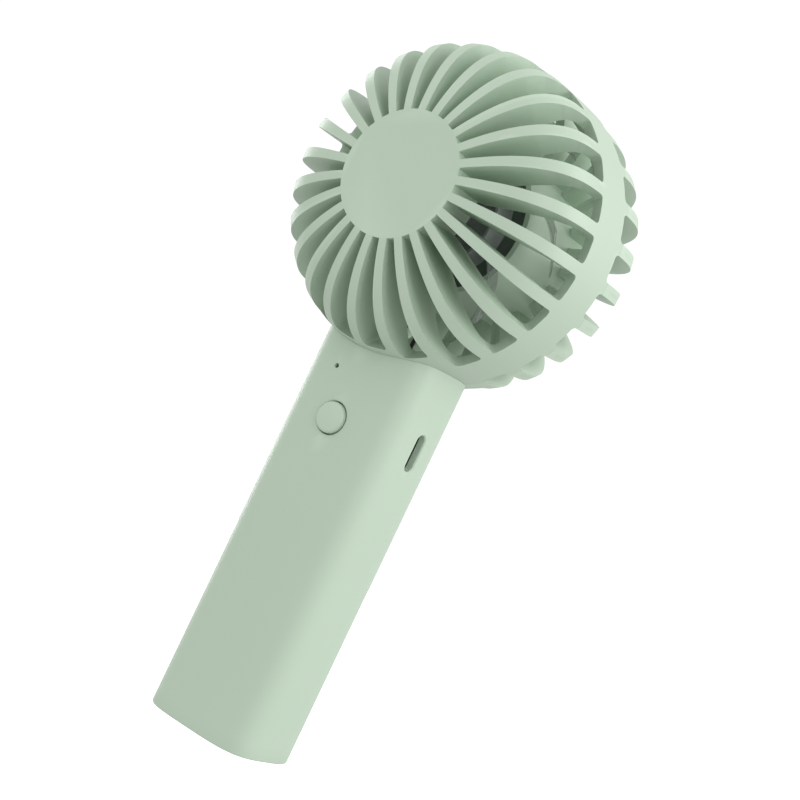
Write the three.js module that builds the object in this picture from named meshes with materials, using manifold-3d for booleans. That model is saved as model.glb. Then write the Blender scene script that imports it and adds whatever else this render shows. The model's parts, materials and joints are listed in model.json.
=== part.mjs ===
// Handheld electric fan: a round ribbed head on a straight handle.
// Millimetres, +Z up. The origin is the centre of the handle's flat bottom, the fan blows towards -Y,
// and +X is to the right for someone facing the fan.
import * as THREE from 'three';
import { mergeVertices } from 'three/addons/utils/BufferGeometryUtils.js';
import Module from 'manifold-3d';

const wasm = await Module();
wasm.setup();

// ---------------------------------------------------------------- driving dimensions
// Clearances
const GAP = 0.3;                  // between pieces that touch or seat on each other
const RUNNING_CLEARANCE = 0.1;    // shaft in its bearings, on the radius

// Head. Depths are measured back from the front disc's face, radii from the fan's axis.
const HEAD_RADIUS = 41;
const HEAD_WIDEST_DEPTH = 28.6;
const REAR_DOME_LENGTH = 33.5;
const FRONT_DOME_POWER = 3.06;    // exponents of the two rounded domes
const REAR_DOME_POWER = 4.36;
const FRONT_DISC_RADIUS = 16.3;
const FRONT_DISC_TO_HANDLE = 32.25;  // front disc's face to the handle's centre plane
const BAND_WALL = 2.8;
const FRONT_SLOT_END = 26.15;     // the plain band lies between these two depths
const REAR_SLOT_START = 39.3;
const BAND_REAR_EDGE = 40.8;
const DISC_THICKNESS = 2.2;
const DRUM_DEPTH = 12.5;          // short tube behind the front disc
const DRUM_WALL = 2;
const RIB_COUNT = 25;
const RIB_ROOT_THICKNESS = 2.1;   // at the front disc
const RIB_TIP_THICKNESS = 3.1;    // at the head's widest
const FRONT_RIB_DEPTH = 13.5;     // depth of the ribs' flat inner edges
const REAR_RIB_DEPTH = 11;        // the same, measured forward from the rear disc
const RIB_INNER_POWER = 3.2;
const SLOT_TO_HANDLE = 2.8;       // wall left between a slot and the handle

// Rear housing: motor cup, spigot ring and strut
const SPIGOT_RING_WALL = 1.5;     // the ring fits inside the front housing's band
const SPIGOT_RING_FRONT = 31;
const SPIGOT_RING_REAR = 38.9;
const CUP_RADIUS = 21;
const CUP_LIP_WALL = 1.3;
const CUP_WALL = 2.5;
const CUP_RIM_DEPTH = 28.2;
const CUP_LEDGE_DEPTH = 31;
const STRUT_THICKNESS = 2.4;
const STRUT_BITE = 0.8;           // how far the strut runs into the ring and the cup
const WIRE_DEPTH = 32.7;          // the motor's leads come up out of the handle at this depth
const WIRE_RADIUS = 0.5;
const LEAD_OFF_CUP = 1;           // the leads lie this far inside the cup's wall

// Handle
const HANDLE_HALF_WIDTH = 16.85;
const HANDLE_HALF_DEPTH = 14.42;
const HANDLE_POWER = 3.68;        // how square the rounded section is
const HANDLE_WALL = 2;
const HANDLE_TOP_RISE = 6;        // how far the handle's top laps up round the head's underside
const NECK_LENGTH = 4;            // the head's neck spigot reaches this far below its underside
const NECK_WALL = 1.8;
const NECK_FLOOR = 1.8;
const NECK_OPENING_HALF_WIDTH = 6;
const NECK_OPENING_FRONT = -4;
const NECK_OPENING_BACK = 4.5;
const NECK_SCREW_SIDE = 6.5;
const NECK_BOSS_HEIGHT = 3.6;
const BASE_CAP_THICKNESS = 2.4;
const BASE_SCREW_EDGE = 0.75;     // base cap left outside a screw's counterbore

// Controls and port. Drops are measured down from the head's underside.
const CONTROL_BAY = 25.5;         // height from the cell's top to the head's underside
const BUTTON_DROP = 18.2;
const BUTTON_RADIUS = 4;
const BUTTON_DOME = 1.2;
const BUTTON_PROUD = 0.2;
const BUTTON_FLANGE = 1.2;
const BUTTON_CLEARANCE = 0.25;
const BUTTON_FLANGE_THICKNESS = 0.9;
const LED_DROP = 6.1;
const LED_SIDE = -5.4;
const LED_HOLE_RADIUS = 0.65;
const LED_HALF_WIDTH = 0.8;
const LED_HALF_HEIGHT = 0.5;
const LIGHT_PIPE_RECESS = 0.6;
const PORT_DROP = 17.5;
const PORT_LENGTH = 9.8;
const PORT_WIDTH = 3.5;
const PORT_BACK = 0.65;           // port centre behind the handle's centre plane
const USB_LENGTH = 7.4;
const USB_WALL = 0.35;
const PORT_LENGTH_CLEARANCE = 0.9;  // the port's cut-out is this much longer than the socket
const PORT_WIDTH_CLEARANCE = 0.3;
const TONGUE_HALF_THICKNESS = 0.35;
const TONGUE_INSET = 1.2;

// Battery: one cylindrical cell, 18 mm by 65 mm
const CELL_RADIUS = 9.2;
const CELL_LENGTH = 65;
const CELL_BOTTOM = 11;
const CRADLE_WALL = 1.6;
const CRADLE_BOTTOM = 4;
const CRADLE_TOP_DROP = 3;        // the trough ends this far below the cell's top
const CRADLE_OPEN_FROM = -3;      // it is open in front of this plane
const BACK_PLATE_THICKNESS = 1.4;
const BACK_PLATE_HALF_WIDTH = 10;
const BACK_PLATE_LAP = 8;         // how far the plate runs down beside the cell
const FLANGE_THICKNESS = 1.5;
const FLANGE_HALF_WIDTH = 9;
const FLANGE_EDGE = 1.2;          // the flange stops this far inside the handle's back wall
const FOOT_CLEARANCE = 2;         // the feet stop this far below the cell
const FOAM_THICKNESS = 3;
const FOAM_INSET = 1;
const TAB_THICKNESS = 0.3;
const TAB_HALF_WIDTH = 3;
const TAB_FRONT = -6.5;

// Circuit board
const PCB_SIDE_CLEARANCE = 2.35;
const PCB_THICKNESS = 1.2;
const PCB_FRONT = -2.5;
const PCB_ABOVE_CELL = 2;
const PCB_BELOW_NECK = 0.5;
const PCB_SCREW_SIDE = 9.3;
const PCB_SCREW_INSET = 3;
const SWITCH_SIZE = 6;
const SWITCH_DEPTH = 4;
const STEM_RADIUS = 1.6;
const STEM_CLEARANCE = 0.3;
const STEM_IN_SWITCH = 1.4;
const SWITCH_TRAVEL_ROOM = 1.2;
const CHIP_SIZE = 4;
const CHIP_HEIGHT = 0.9;
const INDUCTOR_SIZE = 4.6;
const INDUCTOR_HEIGHT = 3;
const CAPACITOR_RADIUS = 2.2;
const CAPACITOR_HEIGHT = 5.5;
const CONNECTOR_SIDE = -3.5;
const CONNECTOR_HALF_WIDTH = 3;
const CONNECTOR_HEIGHT = 4;
const CONNECTOR_DEPTH = 3.4;
const CONNECTOR_BELOW_TOP = 2.5;
const LEAD_PITCH = 3;             // between the two leads at the connector

// Screws
const SCREW_RADIUS = 1;
const SCREW_HEAD_RADIUS = 1.9;
const SCREW_HEAD_HEIGHT = 1.1;
const SCREW_BOSS_WALL = 1.2;
const DRIVE_RADIUS = 0.9;         // six-sided recess in each head
const DRIVE_DEPTH = 0.5;
const BASE_SCREW_SHANK = 5.2;
const NECK_SCREW_SHANK = 4.2;
const MOTOR_SCREW_SHANK = 5;

// Motor and impeller
const SHAFT_RADIUS = 1;
const TIP_CLEARANCE = 2.2;        // the blade tips lie this far inside the ring's radius
const HUB_RADIUS = 16.5;
const HUB_WALL = 0.9;
const HUB_FRONT = 20.7;
const HUB_REAR = 27.8;
const HUB_WEB_FRONT = 24;
const HUB_WEB = 1.3;
const BOSS_RADIUS = 3.6;
const BOSS_RISE = 2;              // the boss stands this far in front of the hub's web
const BLADE_COUNT = 7;
const BLADE_FRONT = 19.6;
const BLADE_REAR = 27.8;
const BLADE_THICKNESS = 1.1;
const BLADE_START_ANGLE = 110;    // degrees clockwise from the top, for the first blade's root
const BLADE_SWEEP = 26;           // degrees from root to tip along the front edge
const BLADE_SWEEP_POWER = 1.6;
const BLADE_ROOT_SPAN = 3;        // degrees from front edge to rear edge at the root
const BLADE_TIP_SPAN = 17;
const BLADE_BOW = 1.2;            // degrees that the blade's middle bows
const BLADE_STATIONS = 5;
const ROTOR_RADIUS = 12;
const ROTOR_FRONT = 33;
const ROTOR_LENGTH = 13;
const ROTOR_WALL = 0.8;
const ROTOR_FACE = 1;
const ROTOR_CHAMFER = 0.8;
const ROTOR_HUB_WALL = 1.5;
const ROTOR_HUB_FRONT = 1.5;      // the can's small hub stands this far in front of its face
const ROTOR_HUB_REAR = 3;
const MAGNET_THICKNESS = 1.3;
const STATOR_TEETH = 9;
const STATOR_SETBACK = 4;
const STATOR_LENGTH = 6.5;
const WINDING_THICKNESS = 1.6;
const BEARING_LENGTH = 2.5;
const BEARING_SETBACK = 0.5;
const TUBE_RADIUS = 4.2;
const TUBE_WALL = 1.2;
const MOTOR_BASE_DEPTH = 48.8;
const MOTOR_BASE_THICKNESS = 1.5;
const MOTOR_SCREW_COUNT = 3;
const MOTOR_SCREW_EDGE = 0.7;
const MOTOR_PCB_THICKNESS = 1.2;
const COVER_THICKNESS = 1;
const COVER_HOLE_CLEARANCE = 0.9;
const NUT_RADIUS = 3;
const NUT_CHAMFER = 0.8;
const NUT_CAP = 1.2;              // how far the nut's closed end covers the shaft

// Facets
const HEAD_SEGMENTS = 2 * RIB_COUNT;
const ROUND_SEGMENTS = 28;
const SMALL_SEGMENTS = 12;
const SECTION_POINTS = 48;
const ENVELOPE_STATIONS = 16;     // a finer head curve, for whatever is cut to fit round the head

// ---------------------------------------------------------------- worked-out sizes
const FRONT_DOME_LENGTH = HEAD_WIDEST_DEPTH
  / (1 - (FRONT_DISC_RADIUS / HEAD_RADIUS) ** FRONT_DOME_POWER) ** (1 / FRONT_DOME_POWER);
const BAND_INNER_RADIUS = HEAD_RADIUS - BAND_WALL;
const REAR_DISC_DEPTH = HEAD_WIDEST_DEPTH
  + REAR_DOME_LENGTH * (1 - (CUP_RADIUS / HEAD_RADIUS) ** REAR_DOME_POWER) ** (1 / REAR_DOME_POWER);
const CUP_FLOOR_DEPTH = REAR_DISC_DEPTH - DISC_THICKNESS;
const CUP_INNER_RADIUS = CUP_RADIUS - CUP_WALL;
const CUP_LIP_RADIUS = CUP_RADIUS - CUP_LIP_WALL;
const RING_OUTER_RADIUS = BAND_INNER_RADIUS - GAP;
const RING_INNER_RADIUS = RING_OUTER_RADIUS - SPIGOT_RING_WALL;
const TIP_RADIUS = RING_INNER_RADIUS - TIP_CLEARANCE;
const HANDLE_INNER_WIDTH = HANDLE_HALF_WIDTH - HANDLE_WALL;
const HANDLE_INNER_DEPTH = HANDLE_HALF_DEPTH - HANDLE_WALL;
const INSERT_HALF_WIDTH = HANDLE_INNER_WIDTH - GAP;   // whatever slides into the handle
const INSERT_HALF_DEPTH = HANDLE_INNER_DEPTH - GAP;
const CELL_TOP = CELL_BOTTOM + CELL_LENGTH;
const HEAD_UNDERSIDE = CELL_TOP + CONTROL_BAY;
const HEAD_HEIGHT = HEAD_UNDERSIDE + HEAD_RADIUS;     // the fan's axis
const NECK_HEIGHT = HEAD_UNDERSIDE - NECK_LENGTH;
const BUTTON_HEIGHT = HEAD_UNDERSIDE - BUTTON_DROP;
const LED_HEIGHT = HEAD_UNDERSIDE - LED_DROP;
const PORT_HEIGHT = HEAD_UNDERSIDE - PORT_DROP;
const SCREW_HOLE_RADIUS = SCREW_RADIUS + GAP;
const SCREW_BOSS_RADIUS = SCREW_HOLE_RADIUS + SCREW_BOSS_WALL;
const CRADLE_INNER_RADIUS = CELL_RADIUS + GAP;
const CRADLE_RADIUS = CRADLE_INNER_RADIUS + CRADLE_WALL;
const PCB_HALF_WIDTH = HANDLE_INNER_WIDTH - PCB_SIDE_CLEARANCE;
const PCB_BACK = PCB_FRONT + PCB_THICKNESS;
const PCB_BOTTOM = CELL_TOP + PCB_ABOVE_CELL;
const PCB_TOP = NECK_HEIGHT - PCB_BELOW_NECK;
const WIRE_SIDE = STRUT_THICKNESS / 2 + GAP + WIRE_RADIUS;

const atDepth = (depth) => depth - FRONT_DISC_TO_HANDLE;
const outOf = (degrees) => THREE.MathUtils.degToRad(degrees);

// ---------------------------------------------------------------- geometry helpers
function signedVolume(positions, indices) {
  let total = 0;
  const a = new THREE.Vector3();
  const b = new THREE.Vector3();
  const c = new THREE.Vector3();
  for (let i = 0; i < indices.length; i += 3) {
    a.fromArray(positions, 3 * indices[i]);
    b.fromArray(positions, 3 * indices[i + 1]);
    c.fromArray(positions, 3 * indices[i + 2]);
    total += a.dot(b.cross(c)) / 6;
  }
  return total;
}

// Turns a closed three.js geometry into a manifold solid, with its faces pointing out.
function solid(geometry) {
  const bare = geometry.clone();
  bare.deleteAttribute('normal');
  bare.deleteAttribute('uv');
  const merged = mergeVertices(bare, 1e-4);
  const positions = merged.attributes.position.array;
  const indices = [];
  for (let i = 0; i < merged.index.count; i += 3) {
    const [a, b, c] = [0, 1, 2].map((k) => merged.index.getX(i + k));
    if (a !== b && b !== c && c !== a) indices.push(a, b, c);
  }
  if (signedVolume(positions, indices) < 0) {
    for (let i = 0; i < indices.length; i += 3) {
      [indices[i + 1], indices[i + 2]] = [indices[i + 2], indices[i + 1]];
    }
  }
  return new wasm.Manifold(new wasm.Mesh({
    numProp: 3,
    vertProperties: Float32Array.from(positions),
    triVerts: Uint32Array.from(indices),
  }));
}

function geometryOf(body) {
  const mesh = body.getMesh();
  const geometry = new THREE.BufferGeometry();
  geometry.setAttribute('position', new THREE.Float32BufferAttribute(mesh.vertProperties, 3));
  geometry.setIndex(Array.from(mesh.triVerts));
  geometry.computeVertexNormals();
  return geometry;
}

// Revolves a closed outline of [radius, depth] points about the fan's axis.
function turned(outline, segments = ROUND_SEGMENTS) {
  const points = outline.map(([radius, depth]) => new THREE.Vector2(radius, atDepth(depth)));
  points.push(points[0].clone());
  return solid(new THREE.LatheGeometry(points, segments));
}

// A ring about the fan's axis, or a disc when the inner radius is 0.
function ring(outer, inner, front, rear, segments = ROUND_SEGMENTS) {
  return turned([[inner, front], [outer, front], [outer, rear], [inner, rear]], segments);
}

function extruded(shape, length, steps = 1) {
  return new THREE.ExtrudeGeometry(shape, { depth: length, steps, bevelEnabled: false, curveSegments: 8 });
}

function shapeOf(points) {
  return new THREE.Shape(points.map(([x, y]) => new THREE.Vector2(x, y)));
}

function circlePoints(radius, count, x = 0, y = 0) {
  return Array.from({ length: count }, (_, i) => {
    const turn = (2 * Math.PI * i) / count;
    return [x + radius * Math.cos(turn), y + radius * Math.sin(turn)];
  });
}

// The handle's rounded section: a superellipse.
function sectionPoints(halfWidth, halfDepth) {
  return Array.from({ length: SECTION_POINTS }, (_, i) => {
    const turn = (2 * Math.PI * i) / SECTION_POINTS;
    const [c, s] = [Math.cos(turn), Math.sin(turn)];
    return [
      halfWidth * Math.sign(c) * Math.abs(c) ** (2 / HANDLE_POWER),
      halfDepth * Math.sign(s) * Math.abs(s) ** (2 / HANDLE_POWER),
    ];
  });
}

// How far the handle's section reaches from its centre plane at a given distance to the side.
function sectionReach(side) {
  const share = Math.min(1, Math.abs(side) / HANDLE_HALF_WIDTH);
  return HANDLE_HALF_DEPTH * (1 - share ** HANDLE_POWER) ** (1 / HANDLE_POWER);
}

// A prism standing on the XY plane between two heights.
function upright(points, bottom, top) {
  return solid(extruded(shapeOf(points), top - bottom).translate(0, 0, bottom));
}

function block(x0, x1, y0, y1, z0, z1) {
  const box = new THREE.BoxGeometry(x1 - x0, y1 - y0, z1 - z0);
  return solid(box.translate((x0 + x1) / 2, (y0 + y1) / 2, (z0 + z1) / 2));
}

// A cylinder along Y between two Y values, centred on (x, z).
function pegAlongY(radius, x, z, y0, y1, segments = SMALL_SEGMENTS) {
  const peg = new THREE.CylinderGeometry(radius, radius, y1 - y0, segments);
  return solid(peg.translate(x, (y0 + y1) / 2, z));
}

// A cylinder along Z between two heights, centred on (x, y).
function pegAlongZ(radius, x, y, z0, z1, segments = SMALL_SEGMENTS) {
  const peg = new THREE.CylinderGeometry(radius, radius, z1 - z0, segments);
  return solid(peg.rotateX(Math.PI / 2).translate(x, y, (z0 + z1) / 2));
}

// A slot with round ends along Z, cut along X.
function slotAlongX(length, width, y, z, x0, x1) {
  const straight = (length - width) / 2;
  const shape = new THREE.Shape();
  shape.absarc(0, straight, width / 2, 0, Math.PI);
  shape.absarc(0, -straight, width / 2, Math.PI, 2 * Math.PI);
  const prism = extruded(shape, x1 - x0).rotateX(Math.PI / 2).rotateZ(Math.PI / 2);
  return solid(prism.translate(x0, y, z));
}

function tube(points, radius) {
  const path = new THREE.CatmullRomCurve3(points.map((p) => new THREE.Vector3(...p)), false, 'centripetal');
  const shape = shapeOf(circlePoints(radius, 6));
  const steps = 3 * (points.length - 1);
  return solid(new THREE.ExtrudeGeometry(shape, { steps, extrudePath: path, bevelEnabled: false }));
}

const union = (bodies) => bodies.reduce((whole, body) => whole.add(body));
const cut = (body, tools) => tools.reduce((whole, tool) => whole.subtract(tool), body);

// ---------------------------------------------------------------- the head's curves
function frontDomeDepth(radius, grow = 0) {
  const share = radius / (HEAD_RADIUS + grow);
  const length = FRONT_DOME_LENGTH + grow;
  return HEAD_WIDEST_DEPTH - length * (1 - share ** FRONT_DOME_POWER) ** (1 / FRONT_DOME_POWER);
}

function rearDomeRadius(depth, grow = 0) {
  const share = Math.max(0, (depth - HEAD_WIDEST_DEPTH) / (REAR_DOME_LENGTH + grow));
  return (HEAD_RADIUS + grow) * (1 - share ** REAR_DOME_POWER) ** (1 / REAR_DOME_POWER);
}

function rearDomeDepth(radius, grow = 0) {
  const share = radius / (HEAD_RADIUS + grow);
  return HEAD_WIDEST_DEPTH
    + (REAR_DOME_LENGTH + grow) * (1 - share ** REAR_DOME_POWER) ** (1 / REAR_DOME_POWER);
}

const spread = (from, to, count, easing = (t) => t) => (
  Array.from({ length: count }, (_, i) => from + (to - from) * easing(i / (count - 1))));
const easeOut = (t) => Math.sin((t * Math.PI) / 2);

// Outer front curve from the disc's rim to the widest point.
const frontDome = (grow = 0, count = 8) => spread(FRONT_DISC_RADIUS, HEAD_RADIUS + grow, count, easeOut)
  .map((radius) => [radius, frontDomeDepth(radius, grow)]);

// Outer rear curve from a depth on the band to the rear disc's rim.
const rearDome = (fromDepth, toRadius, grow = 0, count = 6) => (
  spread(rearDomeRadius(fromDepth, grow), toRadius, count, (t) => 1 - easeOut(1 - t))
    .map((radius) => [radius, rearDomeDepth(radius, grow)]));

// Inner edge of the ribs: nearly flat in the middle, rounding into a cylinder.
function ribInnerCurve(outerRadius, innerRadius, edgeDepth, flatDepth) {
  return spread(outerRadius, innerRadius, 5, (t) => 1 - easeOut(1 - t)).map((radius) => {
    const share = 1 - (radius / outerRadius) ** RIB_INNER_POWER;
    return [radius, edgeDepth + (flatDepth - edgeDepth) * share ** (1 / RIB_INNER_POWER)];
  });
}

// A wedge between two neighbouring ribs, whose sides are the ribs' flat sides.
function gapWedge(clock, innerRadius, frontDepth, rearDepth) {
  const half = Math.PI / RIB_COUNT;
  const corner = (radius) => {
    const grown = (radius - FRONT_DISC_RADIUS) / (HEAD_RADIUS - FRONT_DISC_RADIUS);
    const thickness = RIB_ROOT_THICKNESS + (RIB_TIP_THICKNESS - RIB_ROOT_THICKNESS) * grown;
    return [
      radius * Math.sin(half) - (thickness / 2) * Math.cos(half),
      radius * Math.cos(half) + (thickness / 2) * Math.sin(half),
    ];
  };
  const [near, innerRise] = corner(innerRadius);
  const [far, outerRise] = corner(HEAD_RADIUS + 3);
  const shape = shapeOf([[-near, innerRise], [near, innerRise], [far, outerRise], [-far, outerRise]]);
  const prism = extruded(shape, rearDepth - frontDepth).rotateX(Math.PI / 2);
  return solid(prism.translate(0, atDepth(rearDepth), 0).rotateY(clock));
}

const gapClocks = Array.from({ length: RIB_COUNT }, (_, i) => (2 * Math.PI * i) / RIB_COUNT);
// A gap stands over the handle when its middle, low on the head, is within the handle's width.
const overHandle = (clock) => (
  Math.cos(clock) < 0 && Math.abs(HEAD_RADIUS * Math.sin(clock)) < HANDLE_HALF_WIDTH);
const handleReachAt = (clock) => sectionReach(BAND_INNER_RADIUS * Math.sin(clock)) + SLOT_TO_HANDLE;

// The whole head as one solid, grown outwards by a clearance.
function headEnvelope(grow, fromDepth = frontDomeDepth(FRONT_DISC_RADIUS, grow)) {
  const front = fromDepth < HEAD_WIDEST_DEPTH ? frontDome(grow, ENVELOPE_STATIONS) : [];
  const start = fromDepth < HEAD_WIDEST_DEPTH ? [[0, front[0][1]]] : [[0, fromDepth]];
  const rear = rearDome(Math.max(fromDepth, HEAD_WIDEST_DEPTH), CUP_RADIUS, grow, ENVELOPE_STATIONS);
  const rearFrom = front.length ? rear.slice(1) : rear;
  return turned([...start, ...front, ...rearFrom, [0, rear.at(-1)[1]]], HEAD_SEGMENTS);
}

// ---------------------------------------------------------------- housings
function frontHousing() {
  const drumInner = FRONT_DISC_RADIUS - DRUM_WALL;
  const shell = turned([
    [0, 0],
    ...frontDome(),
    [rearDomeRadius((HEAD_WIDEST_DEPTH + BAND_REAR_EDGE) / 2), (HEAD_WIDEST_DEPTH + BAND_REAR_EDGE) / 2],
    [rearDomeRadius(BAND_REAR_EDGE), BAND_REAR_EDGE],
    [BAND_INNER_RADIUS, BAND_REAR_EDGE],
    ...ribInnerCurve(BAND_INNER_RADIUS, FRONT_DISC_RADIUS, FRONT_SLOT_END, FRONT_RIB_DEPTH),
    [drumInner, DRUM_DEPTH],
    [drumInner, DISC_THICKNESS],
    [0, DISC_THICKNESS],
  ], HEAD_SEGMENTS);
  const slots = gapClocks.map((clock) => {
    const limit = overHandle(clock) ? FRONT_DISC_TO_HANDLE - handleReachAt(clock) : FRONT_SLOT_END;
    return gapWedge(clock, FRONT_DISC_RADIUS, -1, Math.min(limit, FRONT_SLOT_END));
  });
  const rearNotches = gapClocks.filter((clock) => !overHandle(clock))
    .map((clock) => gapWedge(clock, FRONT_DISC_RADIUS, REAR_SLOT_START, BAND_REAR_EDGE + 1));
  const wireHole = block(-2 * WIRE_SIDE, 2 * WIRE_SIDE, atDepth(WIRE_DEPTH - 2), atDepth(WIRE_DEPTH + 2),
    -HEAD_RADIUS - 1, 1 - BAND_INNER_RADIUS);
  return cut(shell.add(neckSpigot()), [...slots, ...rearNotches, wireHole]);
}

// Hollow plug under the band that fills the handle's top, in the head's own frame.
function neckSpigot() {
  const bottom = NECK_HEIGHT - HEAD_HEIGHT;
  const top = -HEAD_RADIUS * 0.85;
  const walls = upright(sectionPoints(INSERT_HALF_WIDTH, INSERT_HALF_DEPTH), bottom, top);
  const hollow = upright(sectionPoints(INSERT_HALF_WIDTH - NECK_WALL, INSERT_HALF_DEPTH - NECK_WALL),
    bottom + NECK_FLOOR, top + 1);
  const opening = block(-NECK_OPENING_HALF_WIDTH, NECK_OPENING_HALF_WIDTH,
    NECK_OPENING_FRONT, NECK_OPENING_BACK, bottom - 1, bottom + NECK_FLOOR + 1);
  const bosses = neckScrewPlaces.map(([x, y]) => (
    pegAlongZ(SCREW_BOSS_RADIUS, x, y, bottom + NECK_FLOOR / 2, bottom + NECK_BOSS_HEIGHT)));
  const holes = neckScrewPlaces.map(([x, y]) => (
    pegAlongZ(SCREW_HOLE_RADIUS, x, y, bottom - 1, bottom + NECK_BOSS_HEIGHT + 1)));
  const inHead = headEnvelope(-BAND_WALL / 2);
  const underRear = headEnvelope(GAP, BAND_REAR_EDGE - 0.1);
  return cut(union([cut(walls, [hollow]), ...bosses]), [opening, ...holes, inHead, underRear]);
}
// The bosses run 1 mm into the spigot's back wall.
const NECK_SCREW_BACK = INSERT_HALF_DEPTH - NECK_WALL - SCREW_BOSS_RADIUS + 1;
const neckScrewPlaces = [-NECK_SCREW_SIDE, NECK_SCREW_SIDE].map((x) => [x, NECK_SCREW_BACK]);

function rearHousing() {
  const start = BAND_REAR_EDGE + GAP;
  const shell = turned([
    [0, REAR_DISC_DEPTH],
    [0, CUP_FLOOR_DEPTH],
    [CUP_INNER_RADIUS, CUP_FLOOR_DEPTH],
    [CUP_INNER_RADIUS, CUP_LEDGE_DEPTH],
    [CUP_LIP_RADIUS, CUP_LEDGE_DEPTH],
    [CUP_LIP_RADIUS, CUP_RIM_DEPTH],
    [CUP_RADIUS, CUP_RIM_DEPTH],
    ...ribInnerCurve(RING_INNER_RADIUS, CUP_RADIUS, start, REAR_DISC_DEPTH - REAR_RIB_DEPTH).reverse(),
    [RING_INNER_RADIUS, SPIGOT_RING_FRONT],
    [RING_OUTER_RADIUS, SPIGOT_RING_FRONT],
    [RING_OUTER_RADIUS, start],
    ...rearDome(start, CUP_RADIUS),
  ], HEAD_SEGMENTS);
  const slots = gapClocks.map((clock) => {
    const limit = overHandle(clock) ? FRONT_DISC_TO_HANDLE + handleReachAt(clock) : SPIGOT_RING_REAR;
    return gapWedge(clock, CUP_RADIUS, limit, REAR_DISC_DEPTH + 2);
  });
  const strut = block(-STRUT_THICKNESS / 2, STRUT_THICKNESS / 2,
    atDepth(CUP_LEDGE_DEPTH), atDepth(REAR_DISC_DEPTH - REAR_RIB_DEPTH + 1),
    -RING_INNER_RADIUS - STRUT_BITE, -CUP_RADIUS + STRUT_BITE);
  const bosses = motorScrewPlaces.map(([x, z]) => (
    pegAlongY(SCREW_BOSS_RADIUS, x, z, atDepth(MOTOR_BASE_REAR + GAP), atDepth(CUP_FLOOR_DEPTH + 1))));
  const holeEnd = atDepth(MOTOR_BASE_REAR + MOTOR_SCREW_SHANK + 1);
  const holes = motorScrewPlaces.map(([x, z]) => (
    pegAlongY(SCREW_HOLE_RADIUS, x, z, atDepth(MOTOR_BASE_REAR), holeEnd)));
  const leadRoom = WIRE_RADIUS + GAP;
  const wireHoles = [-1, 1].map((side) => (
    pegAlongZ(leadRoom, side * WIRE_SIDE, atDepth(WIRE_DEPTH), -CUP_RADIUS - 1, 2 - CUP_INNER_RADIUS)));
  const notchHalfWidth = WIRE_SIDE + leadRoom;
  const leadNotch = block(-notchHalfWidth, notchHalfWidth, atDepth(SPIGOT_RING_FRONT - 1),
    atDepth(WIRE_DEPTH + leadRoom), -RING_OUTER_RADIUS - 1, 1 - RING_INNER_RADIUS);
  return cut(union([cut(shell, slots), strut, ...bosses]), [...holes, ...wireHoles, leadNotch]);
}

function handleShell() {
  const top = HEAD_UNDERSIDE + HANDLE_TOP_RISE;
  const outside = upright(sectionPoints(HANDLE_HALF_WIDTH, HANDLE_HALF_DEPTH), 0, top);
  const inside = upright(sectionPoints(HANDLE_INNER_WIDTH, HANDLE_INNER_DEPTH), -1, top + 1);
  const head = headEnvelope(GAP).translate(0, 0, HEAD_HEIGHT);
  const front = -HANDLE_HALF_DEPTH;
  const buttonHole = pegAlongY(BUTTON_RADIUS + BUTTON_CLEARANCE, 0, BUTTON_HEIGHT, front - 1,
    front + HANDLE_WALL + 1, ROUND_SEGMENTS);
  const ledHole = pegAlongY(LED_HOLE_RADIUS, LED_SIDE, LED_HEIGHT, front - 1, front + HANDLE_WALL + 1);
  const port = slotAlongX(PORT_LENGTH, PORT_WIDTH, PORT_BACK, PORT_HEIGHT,
    HANDLE_INNER_WIDTH - 1, HANDLE_HALF_WIDTH + 1);
  return cut(outside, [inside, head, buttonHole, ledHole, port]);
}

const BASE_SCREW_SIDE = INSERT_HALF_WIDTH - BASE_SCREW_EDGE - GAP - SCREW_HEAD_RADIUS;
const baseScrewPlaces = [-BASE_SCREW_SIDE, BASE_SCREW_SIDE].map((x) => [x, 0]);

function baseCap() {
  const plate = upright(sectionPoints(INSERT_HALF_WIDTH, INSERT_HALF_DEPTH), 0, BASE_CAP_THICKNESS);
  const holes = baseScrewPlaces.flatMap(([x, y]) => [
    pegAlongZ(SCREW_HOLE_RADIUS, x, y, -1, BASE_CAP_THICKNESS + 1),
    pegAlongZ(SCREW_HEAD_RADIUS + GAP, x, y, -1, SCREW_HEAD_HEIGHT + 2 * GAP),
  ]);
  return cut(plate, holes);
}

// ---------------------------------------------------------------- inside the handle
const FLANGE_TOP = NECK_HEIGHT - GAP;
const FLANGE_BOTTOM = FLANGE_TOP - FLANGE_THICKNESS;
const PLATE_BACK = NECK_SCREW_BACK - SCREW_HEAD_RADIUS - GAP;
const PLATE_FRONT = PLATE_BACK - BACK_PLATE_THICKNESS;
const POST_HOLE_END = PLATE_FRONT - 1;
const FOAM_TOP = CELL_BOTTOM - 2 * GAP - TAB_THICKNESS;
const FOAM_RADIUS = CELL_RADIUS - FOAM_INSET;
const PCB_SCREW_SHANK = POST_HOLE_END - GAP - (PCB_FRONT - GAP);
const pcbScrewPlaces = [
  [-PCB_SCREW_SIDE, PCB_BOTTOM + PCB_SCREW_INSET],
  [PCB_SCREW_SIDE, PCB_TOP - PCB_SCREW_INSET],
];

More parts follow.
